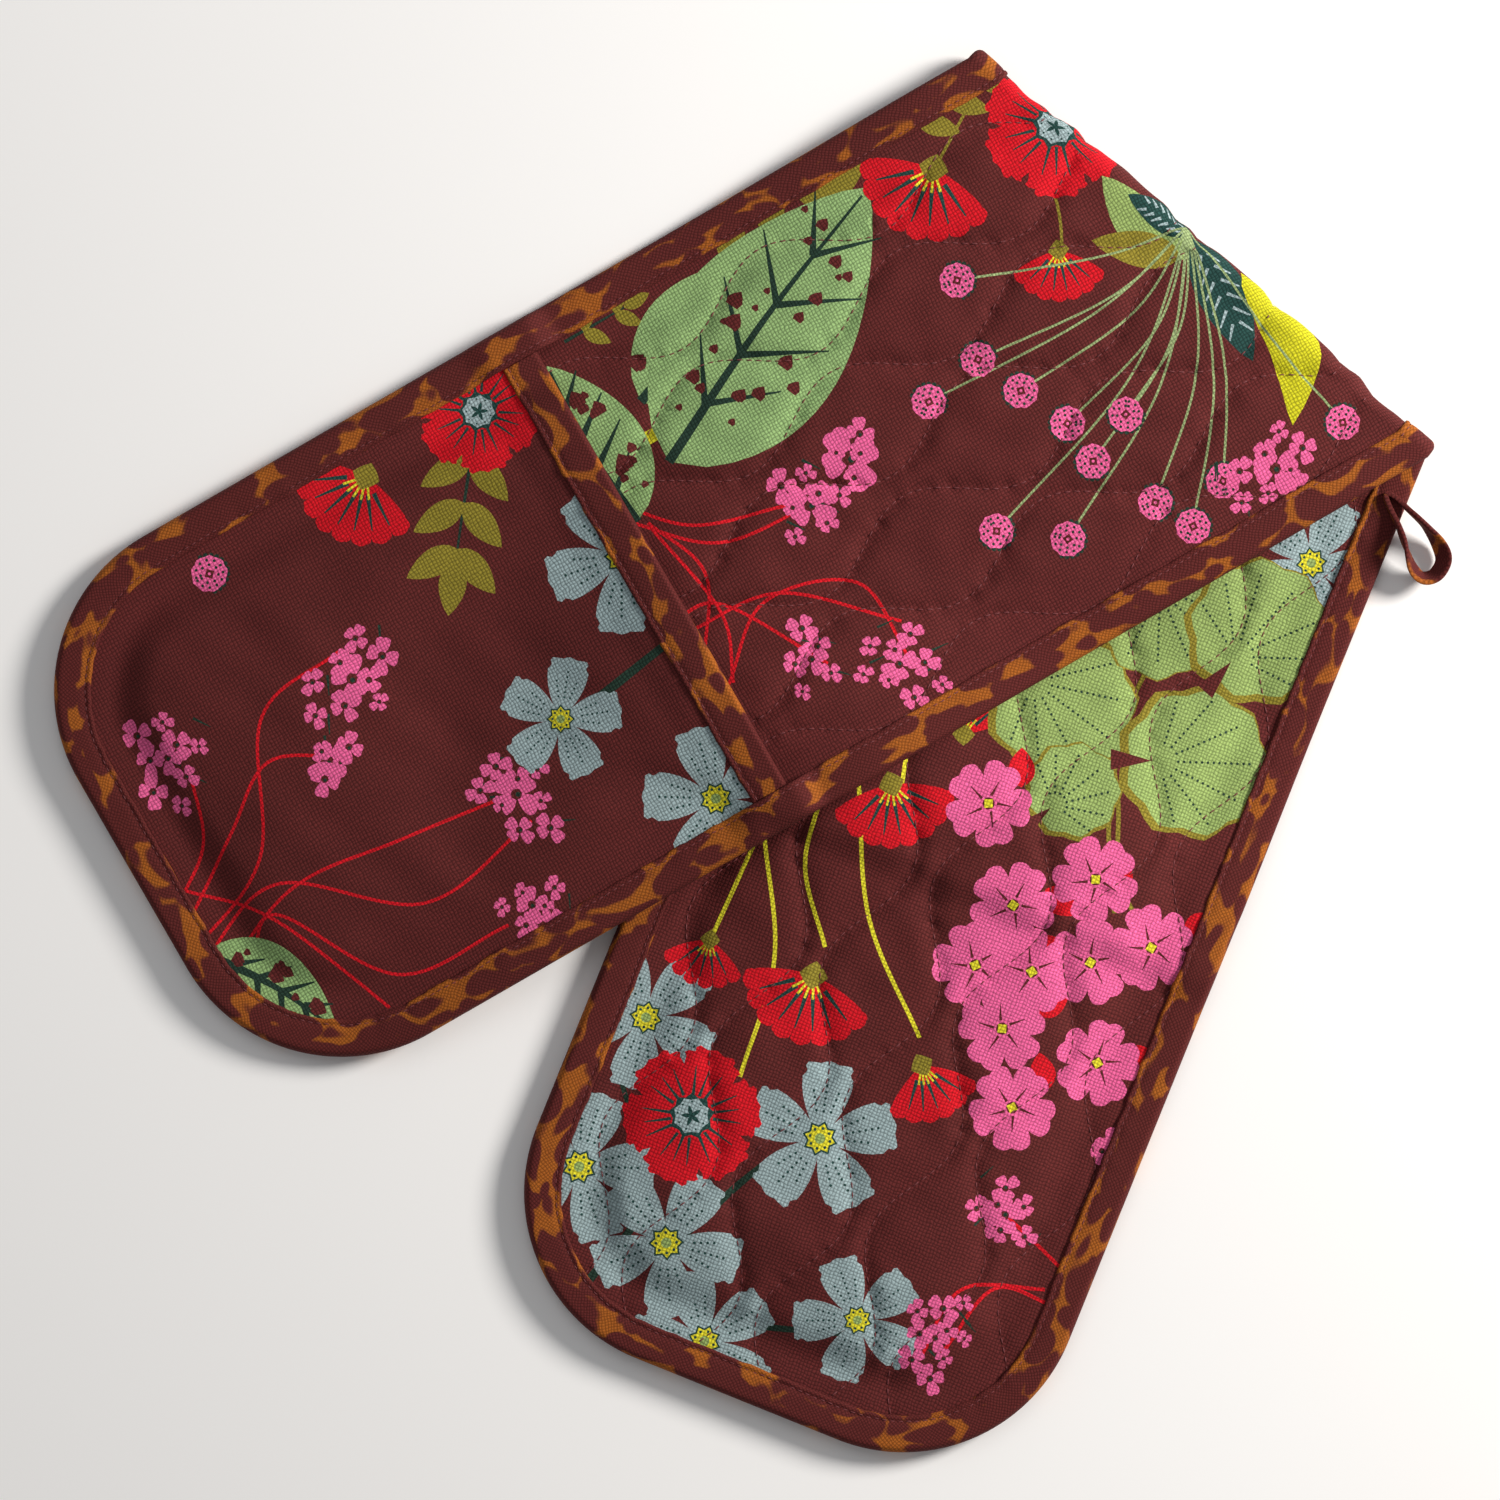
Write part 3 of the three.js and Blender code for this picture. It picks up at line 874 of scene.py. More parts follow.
def garden_print():
    """The strip between the pocket and the fold: a great spotted leaf, red flowers, and pink
    berries on a fan of pale stems."""
    heads = [
        (334, 62), (306, 92), (327, 88), (334, 104), (342, 121), (343, 136), (360, 128), (304, 140),
        (323, 154), (354, 158), (361, 171), (377, 163), (421, 166),
    ]
    root = (410, 84)
    pale = [
        [root, (root[0] * 0.6 + s * 0.4, t * 0.5 + root[1] * 0.5 + 6), (s, t)] for s, t in heads
    ]
    return [
        *drawn("red", 1.1,
               [(198, 66), (218, 88), (248, 98)], [(200, 76), (224, 98), (262, 102)],
               [(198, 112), (214, 116), (234, 150)], [(200, 118), (232, 122), (262, 150)],
               [(200, 128), (214, 104), (206, 80)], [(206, 82), (212, 118), (204, 140)],
               [(202, 140), (226, 122), (256, 132), (258, 162)]),
        *drawn("yellow", 4.5, [(206, 55), (230, 56)]),
        *drawn("olive", 1.0, [(340, 30), (376, 8)], [(365, 78), (374, 60), (382, 34)]),
        *gather([
            (leaf_spray(44, 3), 262, 20, 186, 1.1),
            (leaf_spray(24, 2), 212, 14, 180, 1.0),
            (leaf_spray(36, 3), 342, 10, 186, 1.0),
            (spotted_leaf(60, 34, seed=8), 203, 78, 270, 1.0),
            (spotted_leaf(66, 40, seed=11), 224, 44, 196, 1.0),
            (spotted_leaf(112, 60, seed=9), 222, 66, 204, 1.0),
            (fan_flower(), 346, 26, 45, 1.2),
            (field_flower(), 388, 34, 0, 1.1),
            (fan_flower(7, 130), 368, 70, 70, 0.85),
            ([("lobe", blade(40, 17, bow=3))], 405, 94, 288, 1.0),
            ([("olive", blade(30, 12))], 402, 92, 320, 1.0),
            (feather_leaf(46, 17), 410, 88, 84, 1.0),
            (feather_leaf(26, 11), 410, 88, 300, 1.0),
            ([("lime", blade(54, 19, bow=9))], 418, 106, 77, 1.0),
        ]),
        *drawn("stem", 0.8, *pale),
        *gather([(berry(), s, t, 40 * k, 0.95) for k, (s, t) in enumerate(heads)]),
        *gather([
            (floret_spray(12, count=8, reach=14), 255, 102, 60, 1.1),
            (floret_spray(16, count=5, reach=9, core=2.4), 274, 95, 30, 1.1),
            (floret_spray(13, count=6, reach=13), 230, 146, 70, 1.0),
            (floret_spray(14, count=9), 254, 162, 110, 1.0),
            (floret_spray(15), 394, 168, 0, 1.0),
        ]),
    ]


def meadow_print():
    """The whole half with its back up: dusky and red flowers to the tip, a pink posy in the
    middle and round leaves towards the fold."""
    posy = [
        (163, 114), (186, 118), (147, 130), (124, 143), (178, 149), (204, 140), (148, 164),
        (190, 166), (214, 98), (168, 132),
    ]
    return [
        *drawn("yellow", 1.4, [(100, 56), (140, 52), (176, 34)], [(136, 30), (180, 32)],
               [(150, 66), (172, 50), (196, 46)], [(134, 106), (164, 76), (204, 56)],
               [(206, 70), (232, 64)]),
        *drawn("vein", 3.0, [(14, 34), (52, 42), (84, 20)], [(40, 56), (76, 74), (90, 88)],
               [(20, 76), (34, 120)], end_width=1.6),
        *drawn("olive", 1.5, [(190, 166), (216, 140), (262, 130), (300, 136)],
               [(196, 150), (240, 132), (250, 106)], [(240, 132), (296, 160)],
               [(214, 98), (244, 112)]),
        *gather([
            (dusky_flower(), 14, 78, 0, 0.95),
            (dusky_flower(), 52, 18, 40, 1.0),
            (dusky_flower(), 106, 20, 10, 0.95),
            (dusky_flower(), 40, 54, 25, 1.0),
            (dusky_flower(), 91, 88, 50, 1.0),
            (dusky_flower(), 40, 122, 5, 0.85),
            (dusky_flower(), 328, 168, 30, 0.9),
            (field_flower(), 82, 46, 0, 1.05),
            (fan_flower(6, 120), 138, 30, 15, 0.8),
            (fan_flower(), 140, 66, 10, 1.15),
            (fan_flower(6, 110), 126, 110, 50, 0.95),
            (fan_flower(), 208, 66, 40, 1.05),
            (fan_flower(6, 120), 232, 82, 200, 0.9),
            (fan_leaf(25), 254, 108, 75, 1.0),
            (fan_leaf(16), 228, 122, 150, 1.0),
            (fan_leaf(20), 292, 128, 20, 1.0),
            (fan_leaf(25), 252, 156, 110, 1.0),
            (fan_leaf(24), 300, 160, 160, 1.0),
            ([("olive", blade(40, 14, bow=3))], 228, 184, 170, 1.0),
        ]),
        *gather([([("red", blade(13, 9))], s + 9, t + 8, 70 * k, 1.0)
                 for k, (s, t) in enumerate(posy)]),
        *gather([(rose_flower(), s, t, 31 * k, 1.08) for k, (s, t) in enumerate(posy)]),
        *drawn("red", 1.2, [(36, 146), (62, 150), (72, 176)], [(40, 152), (66, 160), (68, 182)],
               [(92, 150), (84, 170), (78, 184)]),
        *gather([
            (floret_spray(21, count=10), 44, 148, 0, 0.95),
            (floret_spray(22, count=7, reach=14), 90, 154, 90, 0.9),
            (floret_spray(23, count=3, reach=6), 122, 180, 0, 1.0),
        ]),
    ]


# Materials ----------------------------------------------------------------------------------

INKS = {
    "ground": "#5E2322",
    "leaf": "#8FB072",
    "lobe": "#93AB63",
    "vein": "#22392E",
    "teal": "#1F433F",
    "red": "#D01020",
    "pink": "#E9639A",
    "dusk": "#98ACAF",
    "olive": "#8B7E2A",
    "lime": "#C2BE1C",
    "yellow": "#DBD22E",
    "stem": "#8FA26F",
}
# The threads of such cloth lie about 0.8 mm apart or less, too fine to show in the render, so
# the weave is drawn as coarse as it needs to show.
THREAD = 1.15
TAPE_THREAD = 1.05

# Sizes of the materials' patterns, in millimetres
CANVAS_CLOUD = 16.667
CANVAS_SLUB = 0.9091
BLOTCH = (9.524, 5.263)
TAPE_FADE = 6.25
LINING_CLOUD = 11.111
WADDING_FIBRE = 1.1111
THREAD_TWIST = 0.4


def per_metre(size):
    """How often a pattern of this many millimetres repeats in a metre."""
    return 1 / (size * MM)


def linear(code):
    """An sRGB hex colour as linear RGBA."""
    parts = [int(code[k:k + 2], 16) / 255 for k in (1, 3, 5)]
    return [p / 12.92 if p <= 0.04045 else ((p + 0.055) / 1.055) ** 2.4 for p in parts] + [1]


def node(tree, kind, inputs=None, **settings):
    """Adds a node with its settings; an input that is a socket is linked, another is set."""
    made = tree.nodes.new(kind)
    for name, value in settings.items():
        setattr(made, name, value)
    for name, value in (inputs or {}).items():
        if isinstance(value, bpy.types.NodeSocket):
            tree.links.new(value, made.inputs[name])
        else:
            made.inputs[name].default_value = value
    return made


def material(name, **uniform):
    """A new material, its tree and its shader, with the values that are the same all over."""
    made = bpy.data.materials.new(name)
    made.use_nodes = True
    tree = made.node_tree
    shader = tree.nodes["Principled BSDF"]
    for socket, value in uniform.items():
        shader.inputs[socket.replace("_", " ")].default_value = value
    return made, tree, shader


def weave(tree, thread, turn=0.0):
    """A plain weave this many millimetres between threads, on the piece's cloth coordinates:
    its relief from 0 in the gaps to 1, and a value that is high on one set of threads."""
    cloth = node(tree, "ShaderNodeUVMap", uv_map="cloth").outputs["UV"]
    scale = per_metre(thread)
    placed = node(tree, "ShaderNodeMapping", {
        "Vector": cloth, "Rotation": (0, 0, turn), "Scale": (scale, scale, scale),
    }).outputs["Vector"]
    wobble = node(tree, "ShaderNodeTexNoise", {"Vector": placed, "Scale": 0.35, "Detail": 1.0})
    drift = node(tree, "ShaderNodeVectorMath", {0: wobble.outputs["Color"], 1: (0.5, 0.5, 0.5)},
                 operation="SUBTRACT").outputs[0]
    bent = node(tree, "ShaderNodeVectorMath", {0: drift, 1: (1.1, 1.1, 0), 2: placed},
                operation="MULTIPLY_ADD").outputs[0]
    parts = node(tree, "ShaderNodeSeparateXYZ", {0: bent}).outputs
    threads = []
    for way in ("X", "Y"):
        phase = node(tree, "ShaderNodeMath", {0: parts[way], 1: math.pi}, operation="MULTIPLY")
        threads.append(node(tree, "ShaderNodeMath", {0: phase.outputs[0]}, operation="SINE"))
    crossing = node(tree, "ShaderNodeMath", {
        k: thread_wave.outputs[0] for k, thread_wave in enumerate(threads)
    }, operation="MULTIPLY").outputs[0]
    height = node(tree, "ShaderNodeMath", {0: crossing}, operation="ABSOLUTE").outputs[0]
    relief = node(tree, "ShaderNodeMath", {0: height, 1: 0.5}, operation="POWER").outputs[0]
    return cloth, relief, crossing


def shade(tree, colour, value, darkest, lightest):
    """The colour made darker or lighter by a value from 0 to 1."""
    level = node(tree, "ShaderNodeMapRange", {
        "Value": value, "To Min": darkest, "To Max": lightest,
    }).outputs["Result"]
    return node(tree, "ShaderNodeVectorMath", {0: colour, "Scale": level},
                operation="SCALE").outputs[0]


def finish_cloth(tree, shader, colour, relief, height, rough):
    """Colour, thread relief and roughness: thread tops are a little smoother than the gaps."""
    tree.links.new(colour, shader.inputs["Base Color"])
    level = node(tree, "ShaderNodeMapRange", {
        "Value": relief, "To Min": min(1, rough + 0.08), "To Max": rough - 0.06,
    }).outputs["Result"]
    tree.links.new(level, shader.inputs["Roughness"])
    bump = node(tree, "ShaderNodeBump", {
        "Height": relief, "Distance": height * MM, "Strength": 0.6,
    }).outputs["Normal"]
    tree.links.new(bump, shader.inputs["Normal"])


def printed_canvas():
    """Cotton canvas in plain weave, printed with pigment: quite matt, with single threads
    standing out as small light specks, and slightly uneven colour."""
    made, tree, shader = material("printed_cotton_canvas", Specular_IOR_Level=0.25, IOR=1.45)
    cloth, relief, crossing = weave(tree, THREAD)
    ink = node(tree, "ShaderNodeVertexColor", layer_name="ink").outputs["Color"]
    patchy = node(tree, "ShaderNodeTexNoise", {
        "Vector": cloth, "Scale": per_metre(CANVAS_CLOUD), "Detail": 4.0,
    })
    slub = node(tree, "ShaderNodeTexNoise", {
        "Vector": cloth, "Scale": per_metre(CANVAS_SLUB), "Detail": 1.0,
    })
    # Painted shade and light: the ink is darkened in the gaps of the weave and lightened on the
    # thread tops, by the weave's relief.
    colour = shade(tree, ink, relief, 0.5, 1.25)
    colour = shade(tree, colour, crossing, 0.94, 1.06)
    colour = shade(tree, colour, patchy.outputs["Fac"], 0.85, 1.15)
    colour = shade(tree, colour, slub.outputs["Fac"], 0.6, 1.4)
    finish_cloth(tree, shader, colour, relief, 0.2, 0.86)
    return made


def binding_tape():
    """Bias-cut cotton tape, dyed orange and printed with dark blotches that run along it: a
    finer weave lying at 45 degrees, matt."""
    made, tree, shader = material("printed_bias_tape", Specular_IOR_Level=0.25, IOR=1.45)
    cloth, relief, crossing = weave(tree, TAPE_THREAD, turn=math.radians(45))
    cells = (*(per_metre(size) for size in BLOTCH), 1)
    wide = node(tree, "ShaderNodeMapping", {"Vector": cloth, "Scale": cells})
    drift = node(tree, "ShaderNodeTexNoise", {
        "Vector": wide.outputs["Vector"], "Scale": 0.6, "Detail": 0.0,
    }).outputs["Color"]
    bent = node(tree, "ShaderNodeVectorMath", {
        0: drift, 1: (1.5, 1.3, 0), 2: wide.outputs["Vector"],
    }, operation="MULTIPLY_ADD").outputs[0]
    blots = node(tree, "ShaderNodeTexVoronoi", {
        "Vector": bent, "Scale": 1.0, "Randomness": 1.0, "Smoothness": 0.25,
    }, feature="SMOOTH_F1").outputs["Distance"]
    gaps = node(tree, "ShaderNodeTexNoise", {
        "Vector": wide.outputs["Vector"], "Scale": 0.55, "Detail": 0.0,
    }).outputs["Fac"]
    reach = node(tree, "ShaderNodeMapRange", {
        "Value": gaps, "From Min": 0.35, "From Max": 0.65, "To Min": 0.52, "To Max": 0.84,
    }).outputs["Result"]
    inside = node(tree, "ShaderNodeMath", {0: reach, 1: blots}, operation="SUBTRACT").outputs[0]
    blotch = node(tree, "ShaderNodeMapRange", {
        "Value": inside, "From Min": -0.07, "From Max": 0.08,
    }, interpolation_type="SMOOTHSTEP").outputs["Result"]
    faded = node(tree, "ShaderNodeTexNoise", {
        "Vector": cloth, "Scale": per_metre(TAPE_FADE), "Detail": 3.0,
    })
    orange = node(tree, "ShaderNodeMix", {
        "Factor": faded.outputs["Fac"], 6: linear("#8E4A1A"), 7: linear("#B0641E"),
    }, data_type="RGBA").outputs[2]
    colour = node(tree, "ShaderNodeMix", {
        "Factor": blotch, 6: orange, 7: linear("#5C2220"),
    }, data_type="RGBA").outputs[2]
    # Painted shade and light: the tape's colour is darkened in the gaps of its weave and lightened
    # on the thread tops, by the weave's relief.
    colour = shade(tree, colour, relief, 0.55, 1.2)
    colour = shade(tree, colour, crossing, 0.94, 1.06)
    finish_cloth(tree, shader, colour, relief, 0.18, 0.88)
    return made


def plain_cotton(name, code, thread, rough):
    """Plain woven cotton, piece dyed, matt."""
    made, tree, shader = material(name, Sheen_Weight=0.05, IOR=1.45)
    cloth, relief, _ = weave(tree, thread)
    patchy = node(tree, "ShaderNodeTexNoise", {
        "Vector": cloth, "Scale": per_metre(LINING_CLOUD), "Detail": 3.0,
    })
    base = node(tree, "ShaderNodeRGB")
    base.outputs[0].default_value = linear(code)
    # Painted shade and light: the lining's colour is a little darker in the gaps of the weave and
    # lighter on the thread tops, by the weave's relief.
    colour = shade(tree, base.outputs[0], relief, 0.8, 1.06)
    colour = shade(tree, colour, patchy.outputs["Fac"], 0.9, 1.1)
    finish_cloth(tree, shader, colour, relief, 0.08, rough)
    return made


def cotton_wadding():
    """Needled cotton wadding: off-white, fully matt, clumped fibres."""
    made, tree, shader = material("cotton_wadding", Roughness=1.0, IOR=1.45)
    place_on = node(tree, "ShaderNodeTexCoord").outputs["Object"]
    fibres = node(tree, "ShaderNodeTexNoise", {
        "Vector": place_on, "Scale": per_metre(WADDING_FIBRE), "Detail": 6.0,
    }).outputs["Fac"]
    base = node(tree, "ShaderNodeRGB")
    base.outputs[0].default_value = linear("#DDD6C6")
    tree.links.new(shade(tree, base.outputs[0], fibres, 0.75, 1.15), shader.inputs["Base Color"])
    bump = node(tree, "ShaderNodeBump", {"Height": fibres, "Distance": 0.3 * MM})
    tree.links.new(bump.outputs["Normal"], shader.inputs["Normal"])
    return made


def sewing_thread():
    """Spun polyester sewing thread, a shade redder than the canvas: slight gloss, twisted."""
    made, tree, shader = material("sewing_thread", Sheen_Weight=0.1, Roughness=0.6, IOR=1.5)
    spot = node(tree, "ShaderNodeTexCoord").outputs["Object"]
    twist = node(tree, "ShaderNodeTexNoise", {
        "Vector": spot, "Scale": per_metre(THREAD_TWIST),
    }).outputs["Fac"]
    base = node(tree, "ShaderNodeRGB")
    base.outputs[0].default_value = linear("#6E2A2E")
    tree.links.new(shade(tree, base.outputs[0], twist, 0.7, 1.3), shader.inputs["Base Color"])
    return made


# Covers -------------------------------------------------------------------------------------

FACE_BAND = math.pi * (FOLD_GAP / 2 + QUILT_THICKNESS)
BACK_BAND = math.pi * FOLD_GAP / 2
GROUND = linear(INKS["ground"])


def ink_colours(panel, shapes):
    table = np.array([linear(INKS[ink]) for ink, _ in shapes] + [GROUND])
    return table[panel.shape]


def on_cloth(half, shapes, band):
    """Shapes in a half's pattern coordinates, on the cloth of a cover."""
    return [(ink, to_cloth(half, *np.asarray(outline).T, band)) for ink, outline in shapes]


def thirds(panel, band):
    """The panel's triangles on the upper half, round the fold and on the lower half."""
    past = spots(panel.points[panel.triangles].mean(axis=1), band).past
    return {"upper": past <= 0, "fold": (past > 0) & (past < band), "lower": past >= band}


def attach(piece, part):
    """Rides a half; a piece round the fold keeps its laid shape, baked into the scene's frame."""
    if part == "fold":
        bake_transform(piece)
    else:
        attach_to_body(piece, f"{part}_half")


def make_cover(kind, band, height, outward, shapes, canvas):
    """One printed cover of the strip in three pieces, which meet exactly at the fold."""
    panel = strip_panel(band, FINE, shapes)
    outer = lay_strip(panel.points, band, height)
    inner = lay_strip(
        panel.points, band, lambda spot, edge: height(spot, edge) - outward * COVER
    )
    triangles = panel.triangles[:, ::outward]
    normals = point_normals(outer, triangles)
    inks = ink_colours(panel, shapes)
    pieces = {}
    for part, chosen in thirds(panel, band).items():
        piece = shell(
            f"{part}_{kind}_cloth", outer, inner, normals, triangles[chosen],
            panel.points, inks[chosen], GROUND, canvas,
        )
        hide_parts(f"{part}_{kind}_cover")
        attach(piece, part)
        pieces[part] = piece
    return pieces


def make_wadding(fill):
    """The strip's wadding, between the two covers' inner sides."""
    panel = strip_panel(FACE_BAND, COARSE)

    def skin(height):
        return lay_strip(panel.points, FACE_BAND, height)

    def pressed(spot, edge):
        """Half the wadding's thickness, which the quilting presses almost to nothing."""
        free = (face_rise(spot, edge) - back_rise(spot, edge)) / 2 - UNDER_COVER
        return np.maximum(free, PRESSED)

    top = skin(lambda spot, edge: quilt(edge) / 2 + pressed(spot, edge))
    bottom = skin(lambda spot, edge: quilt(edge) / 2 - pressed(spot, edge))
    normals = point_normals(top, panel.triangles)
    for part, chosen in thirds(panel, FACE_BAND).items():
        piece = shell(
            f"{part}_wadding_pad", top, bottom, normals, panel.triangles[chosen],
            panel.points, None, None, fill,
        )
        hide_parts(f"{part}_wadding")
        attach(piece, part)


def face_rise(spot, edge):
    return quilt(edge) - valley(spot.station, spot.across, edge)


def back_rise(spot, edge):
    return valley(spot.station, spot.across, edge)


# Pockets ------------------------------------------------------------------------------------


def soft_wave(along, across, edge):
    """The unquilted pocket panel's gentle unevenness, still at the seams and the mouth."""
    swell = ripple(along, across, 60, seed=31) + 0.5 * ripple(along, across, 24, seed=32)
    free = np.minimum(edge - BINDING_WIDTH, along - MOUTH - MOUTH_BINDING_WIDTH)
    return 0.7 * swell * smoothstep(free, 0, 30)


def lay_pocket(half, panel, height, lift=0.0):
    """Points of a pocket layer. The lower pocket is pressed flat by the table."""
    along, across = panel.points.T
    wave = 0 if half is LOWER else soft_wave(along, across, edge_distance(along, across))
    return place(half, along, across, height(half, along, across) + wave + lift)


def make_pocket(part, half, shapes, canvas, lining, fill):
    """A pocket's outer panel, wadding and lining."""
    panel = pocket_panel(FINE, shapes)
    triangles = panel.triangles[:, ::half.side]
    outer = lay_pocket(half, panel, pocket_height)
    normals = point_normals(outer, triangles)
    face = shell(
        f"{part}_pocket_face_cloth", outer, outer - normals * COVER * MM, normals, triangles,
        panel.points, ink_colours(panel, shapes), GROUND, canvas,
    )
    plain = pocket_panel(COARSE)
    triangles = plain.triangles[:, ::-half.side]
    inner = lay_pocket(half, plain, lining_height)
    normals = point_normals(inner, triangles)
    inside = shell(
        f"{part}_pocket_lining_cloth", inner, inner - normals * COVER * MM, normals, triangles,
        plain.points, None, None, lining,
    )
    low = lay_pocket(half, plain, lining_height, UNDER_COVER)
    high = lay_pocket(half, plain, pocket_height, -UNDER_COVER)
    middle = shell(
        f"{part}_pocket_wadding_pad", high, low, -normals, triangles[:, ::-1],
        plain.points, None, None, fill,
    )
    for piece, node_name, slot in (
        (face, "pocket_face", "printed_canvas"),
        (inside, "pocket_lining", "lining_cotton"),
        (middle, "pocket_wadding", "cotton_wadding"),
    ):
        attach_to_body(piece, half.body)
        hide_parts(f"{part}_{node_name}")


# Binding ------------------------------------------------------------------------------------


class Profile(NamedTuple):
    """A tape's section: distance in from the edge, height beyond what it covers, and which
    side it is on, from 1 on the pocket side to 0 on the back."""

    inset: np.ndarray
    rise: np.ndarray
    share: np.ndarray


def tape_profile(width, lip=2.4):
    """Outer and inner outline: a turned-under hem, the dent of its stitching, and a round lip."""
    top = [(width, 0.15), (width - 0.1, 0.7), (width - 0.6, 1.05), (width - 1.3, 1.0),
           (width - 1.8, 0.55), (width - 2.4, 0.95), (width - 4, 1.12), (width / 2, 1.2),
           (lip + 1, 1.2)]
    inset, rise = np.array(top).T
    turn = np.linspace(0, math.pi, 11)
    outer = Profile(
        np.concatenate([inset, lip * (1 - np.sin(turn)), inset[::-1]]),
        np.concatenate([rise, np.full_like(turn, 1.2), rise[::-1]]),
        np.concatenate([np.ones_like(inset), (1 + np.cos(turn)) / 2, np.zeros_like(inset)]),
    )
    inner = Profile(
        np.maximum(outer.inset - 0.1, 0.7 + outer.inset * 0.6), outer.rise * 0.08, outer.share,
    )
    return outer, inner


class Run(NamedTuple):
    """Places along an edge, and the direction in from it, in pattern coordinates."""

    base: np.ndarray
    inward: np.ndarray


def edge_run(step):
    """Round a half's edge from the fold, along the near side, round the tip and back."""
    corner = HALF_LENGTH - TIP_RADIUS
    side = np.linspace(0, corner, round(corner / step))[:-1]
    turn = np.linspace(0, math.pi / 2, round(TIP_RADIUS * math.pi / 2 / step))
    flat = HALF_WIDTH - TIP_RADIUS
    tip = np.linspace(flat, 0, round(flat / step))[1:]
    base = np.concatenate([
        np.stack([side, np.full_like(side, HALF_WIDTH)], axis=1),
        np.stack([corner + TIP_RADIUS * np.sin(turn), flat + TIP_RADIUS * np.cos(turn)], axis=1),
        np.stack([np.full_like(tip, HALF_LENGTH), tip], axis=1),
    ])
    inward = -np.concatenate([
        np.stack([np.zeros_like(side), np.ones_like(side)], axis=1),
        np.stack([np.sin(turn), np.cos(turn)], axis=1),
        np.stack([np.ones_like(tip), np.zeros_like(tip)], axis=1),
    ])
    mirror = np.array([1, -1])
    return Run(
        np.concatenate([base, base[-2::-1] * mirror]),
        np.concatenate([inward, inward[-2::-1] * mirror]),
    )


def run_points(half, run, inset):
    """Along and across at each place of a run, for each distance in from the edge."""
    along = run.base[:, :1] + run.inward[:, :1] * inset
    across = run.base[:, 1:] + run.inward[:, 1:] * inset
    near_fold = 1 - smoothstep(run.base[:, :1], 0, MOUTH)
    return along + half.lean * across * TAN * near_fold, across


def unevenness(distance, profile, seed):
    """Small puckers along the tape, strongest at its stitched hem."""
    hem = smoothstep(profile.inset, 4, BINDING_WIDTH) * (profile.rise > 0.1)
    wave = ripple(distance, 0, 9, seed)[:, None] + 0.7 * ripple(distance, 0, 4, seed + 1)[:, None]
    return wave * hem


def tape_on_half(half, run, profile, high, low, distance):
    """A tape's skin along an edge: rows along the edge, columns round its section."""
    uneven = unevenness(distance, profile, 40 + half.side)
    uneven *= smoothstep(run.base[:, :1], 0, 20)
    inset = profile.inset + 0.22 * uneven
    along, across = run_points(half, run, inset)
    seat = run_points(half, run, np.maximum(inset, TAPE_STEP))
    rise = profile.rise * (1 + 0.18 * uneven)
    height = lerp(low(half, *seat) - rise, high(half, *seat) + rise, profile.share)
    return place(half, along, across, height)


def tape_round_fold(side, profile, turns):
    """The edge tape's skin round the fold, on one side of the strip."""
    across = side * (HALF_WIDTH - profile.inset)
    seat = HALF_WIDTH - np.maximum(profile.inset, TAPE_STEP)
    height = lerp(-profile.rise, quilt(HALF_WIDTH - seat) + profile.rise, profile.share)
    room = tape_room(profile.inset)
    radius = FOLD_GAP / 2 + room + height
    x = np.broadcast_to(across / COS, (len(turns), len(across)))
    y = np.multiply.outer(np.sin(turns), radius)
    z = FOLD_HEIGHT + np.multiply.outer(np.cos(turns), radius)
    return to_row(x, y, z)


def grid_triangles(rows, columns, closed=False):
    """Triangles of a grid of points, row by row. A closed one wraps round both ways."""
    index = np.arange(rows * columns).reshape(rows, columns)
    if closed:
        index = np.pad(index, ((0, 1), (0, 1)), mode="wrap")
    a, b, c, d = (part.ravel() for part in (
        index[:-1, :-1], index[1:, :-1], index[1:, 1:], index[:-1, 1:]
    ))
    return np.concatenate([np.stack([a, b, c], axis=1), np.stack([a, c, d], axis=1)])


def travelled(points):
    """Distance gone along a row of points, in millimetres."""
    steps = np.linalg.norm(np.diff(points, axis=0), axis=-1) / MM
    return np.concatenate([[0], np.cumsum(steps)])


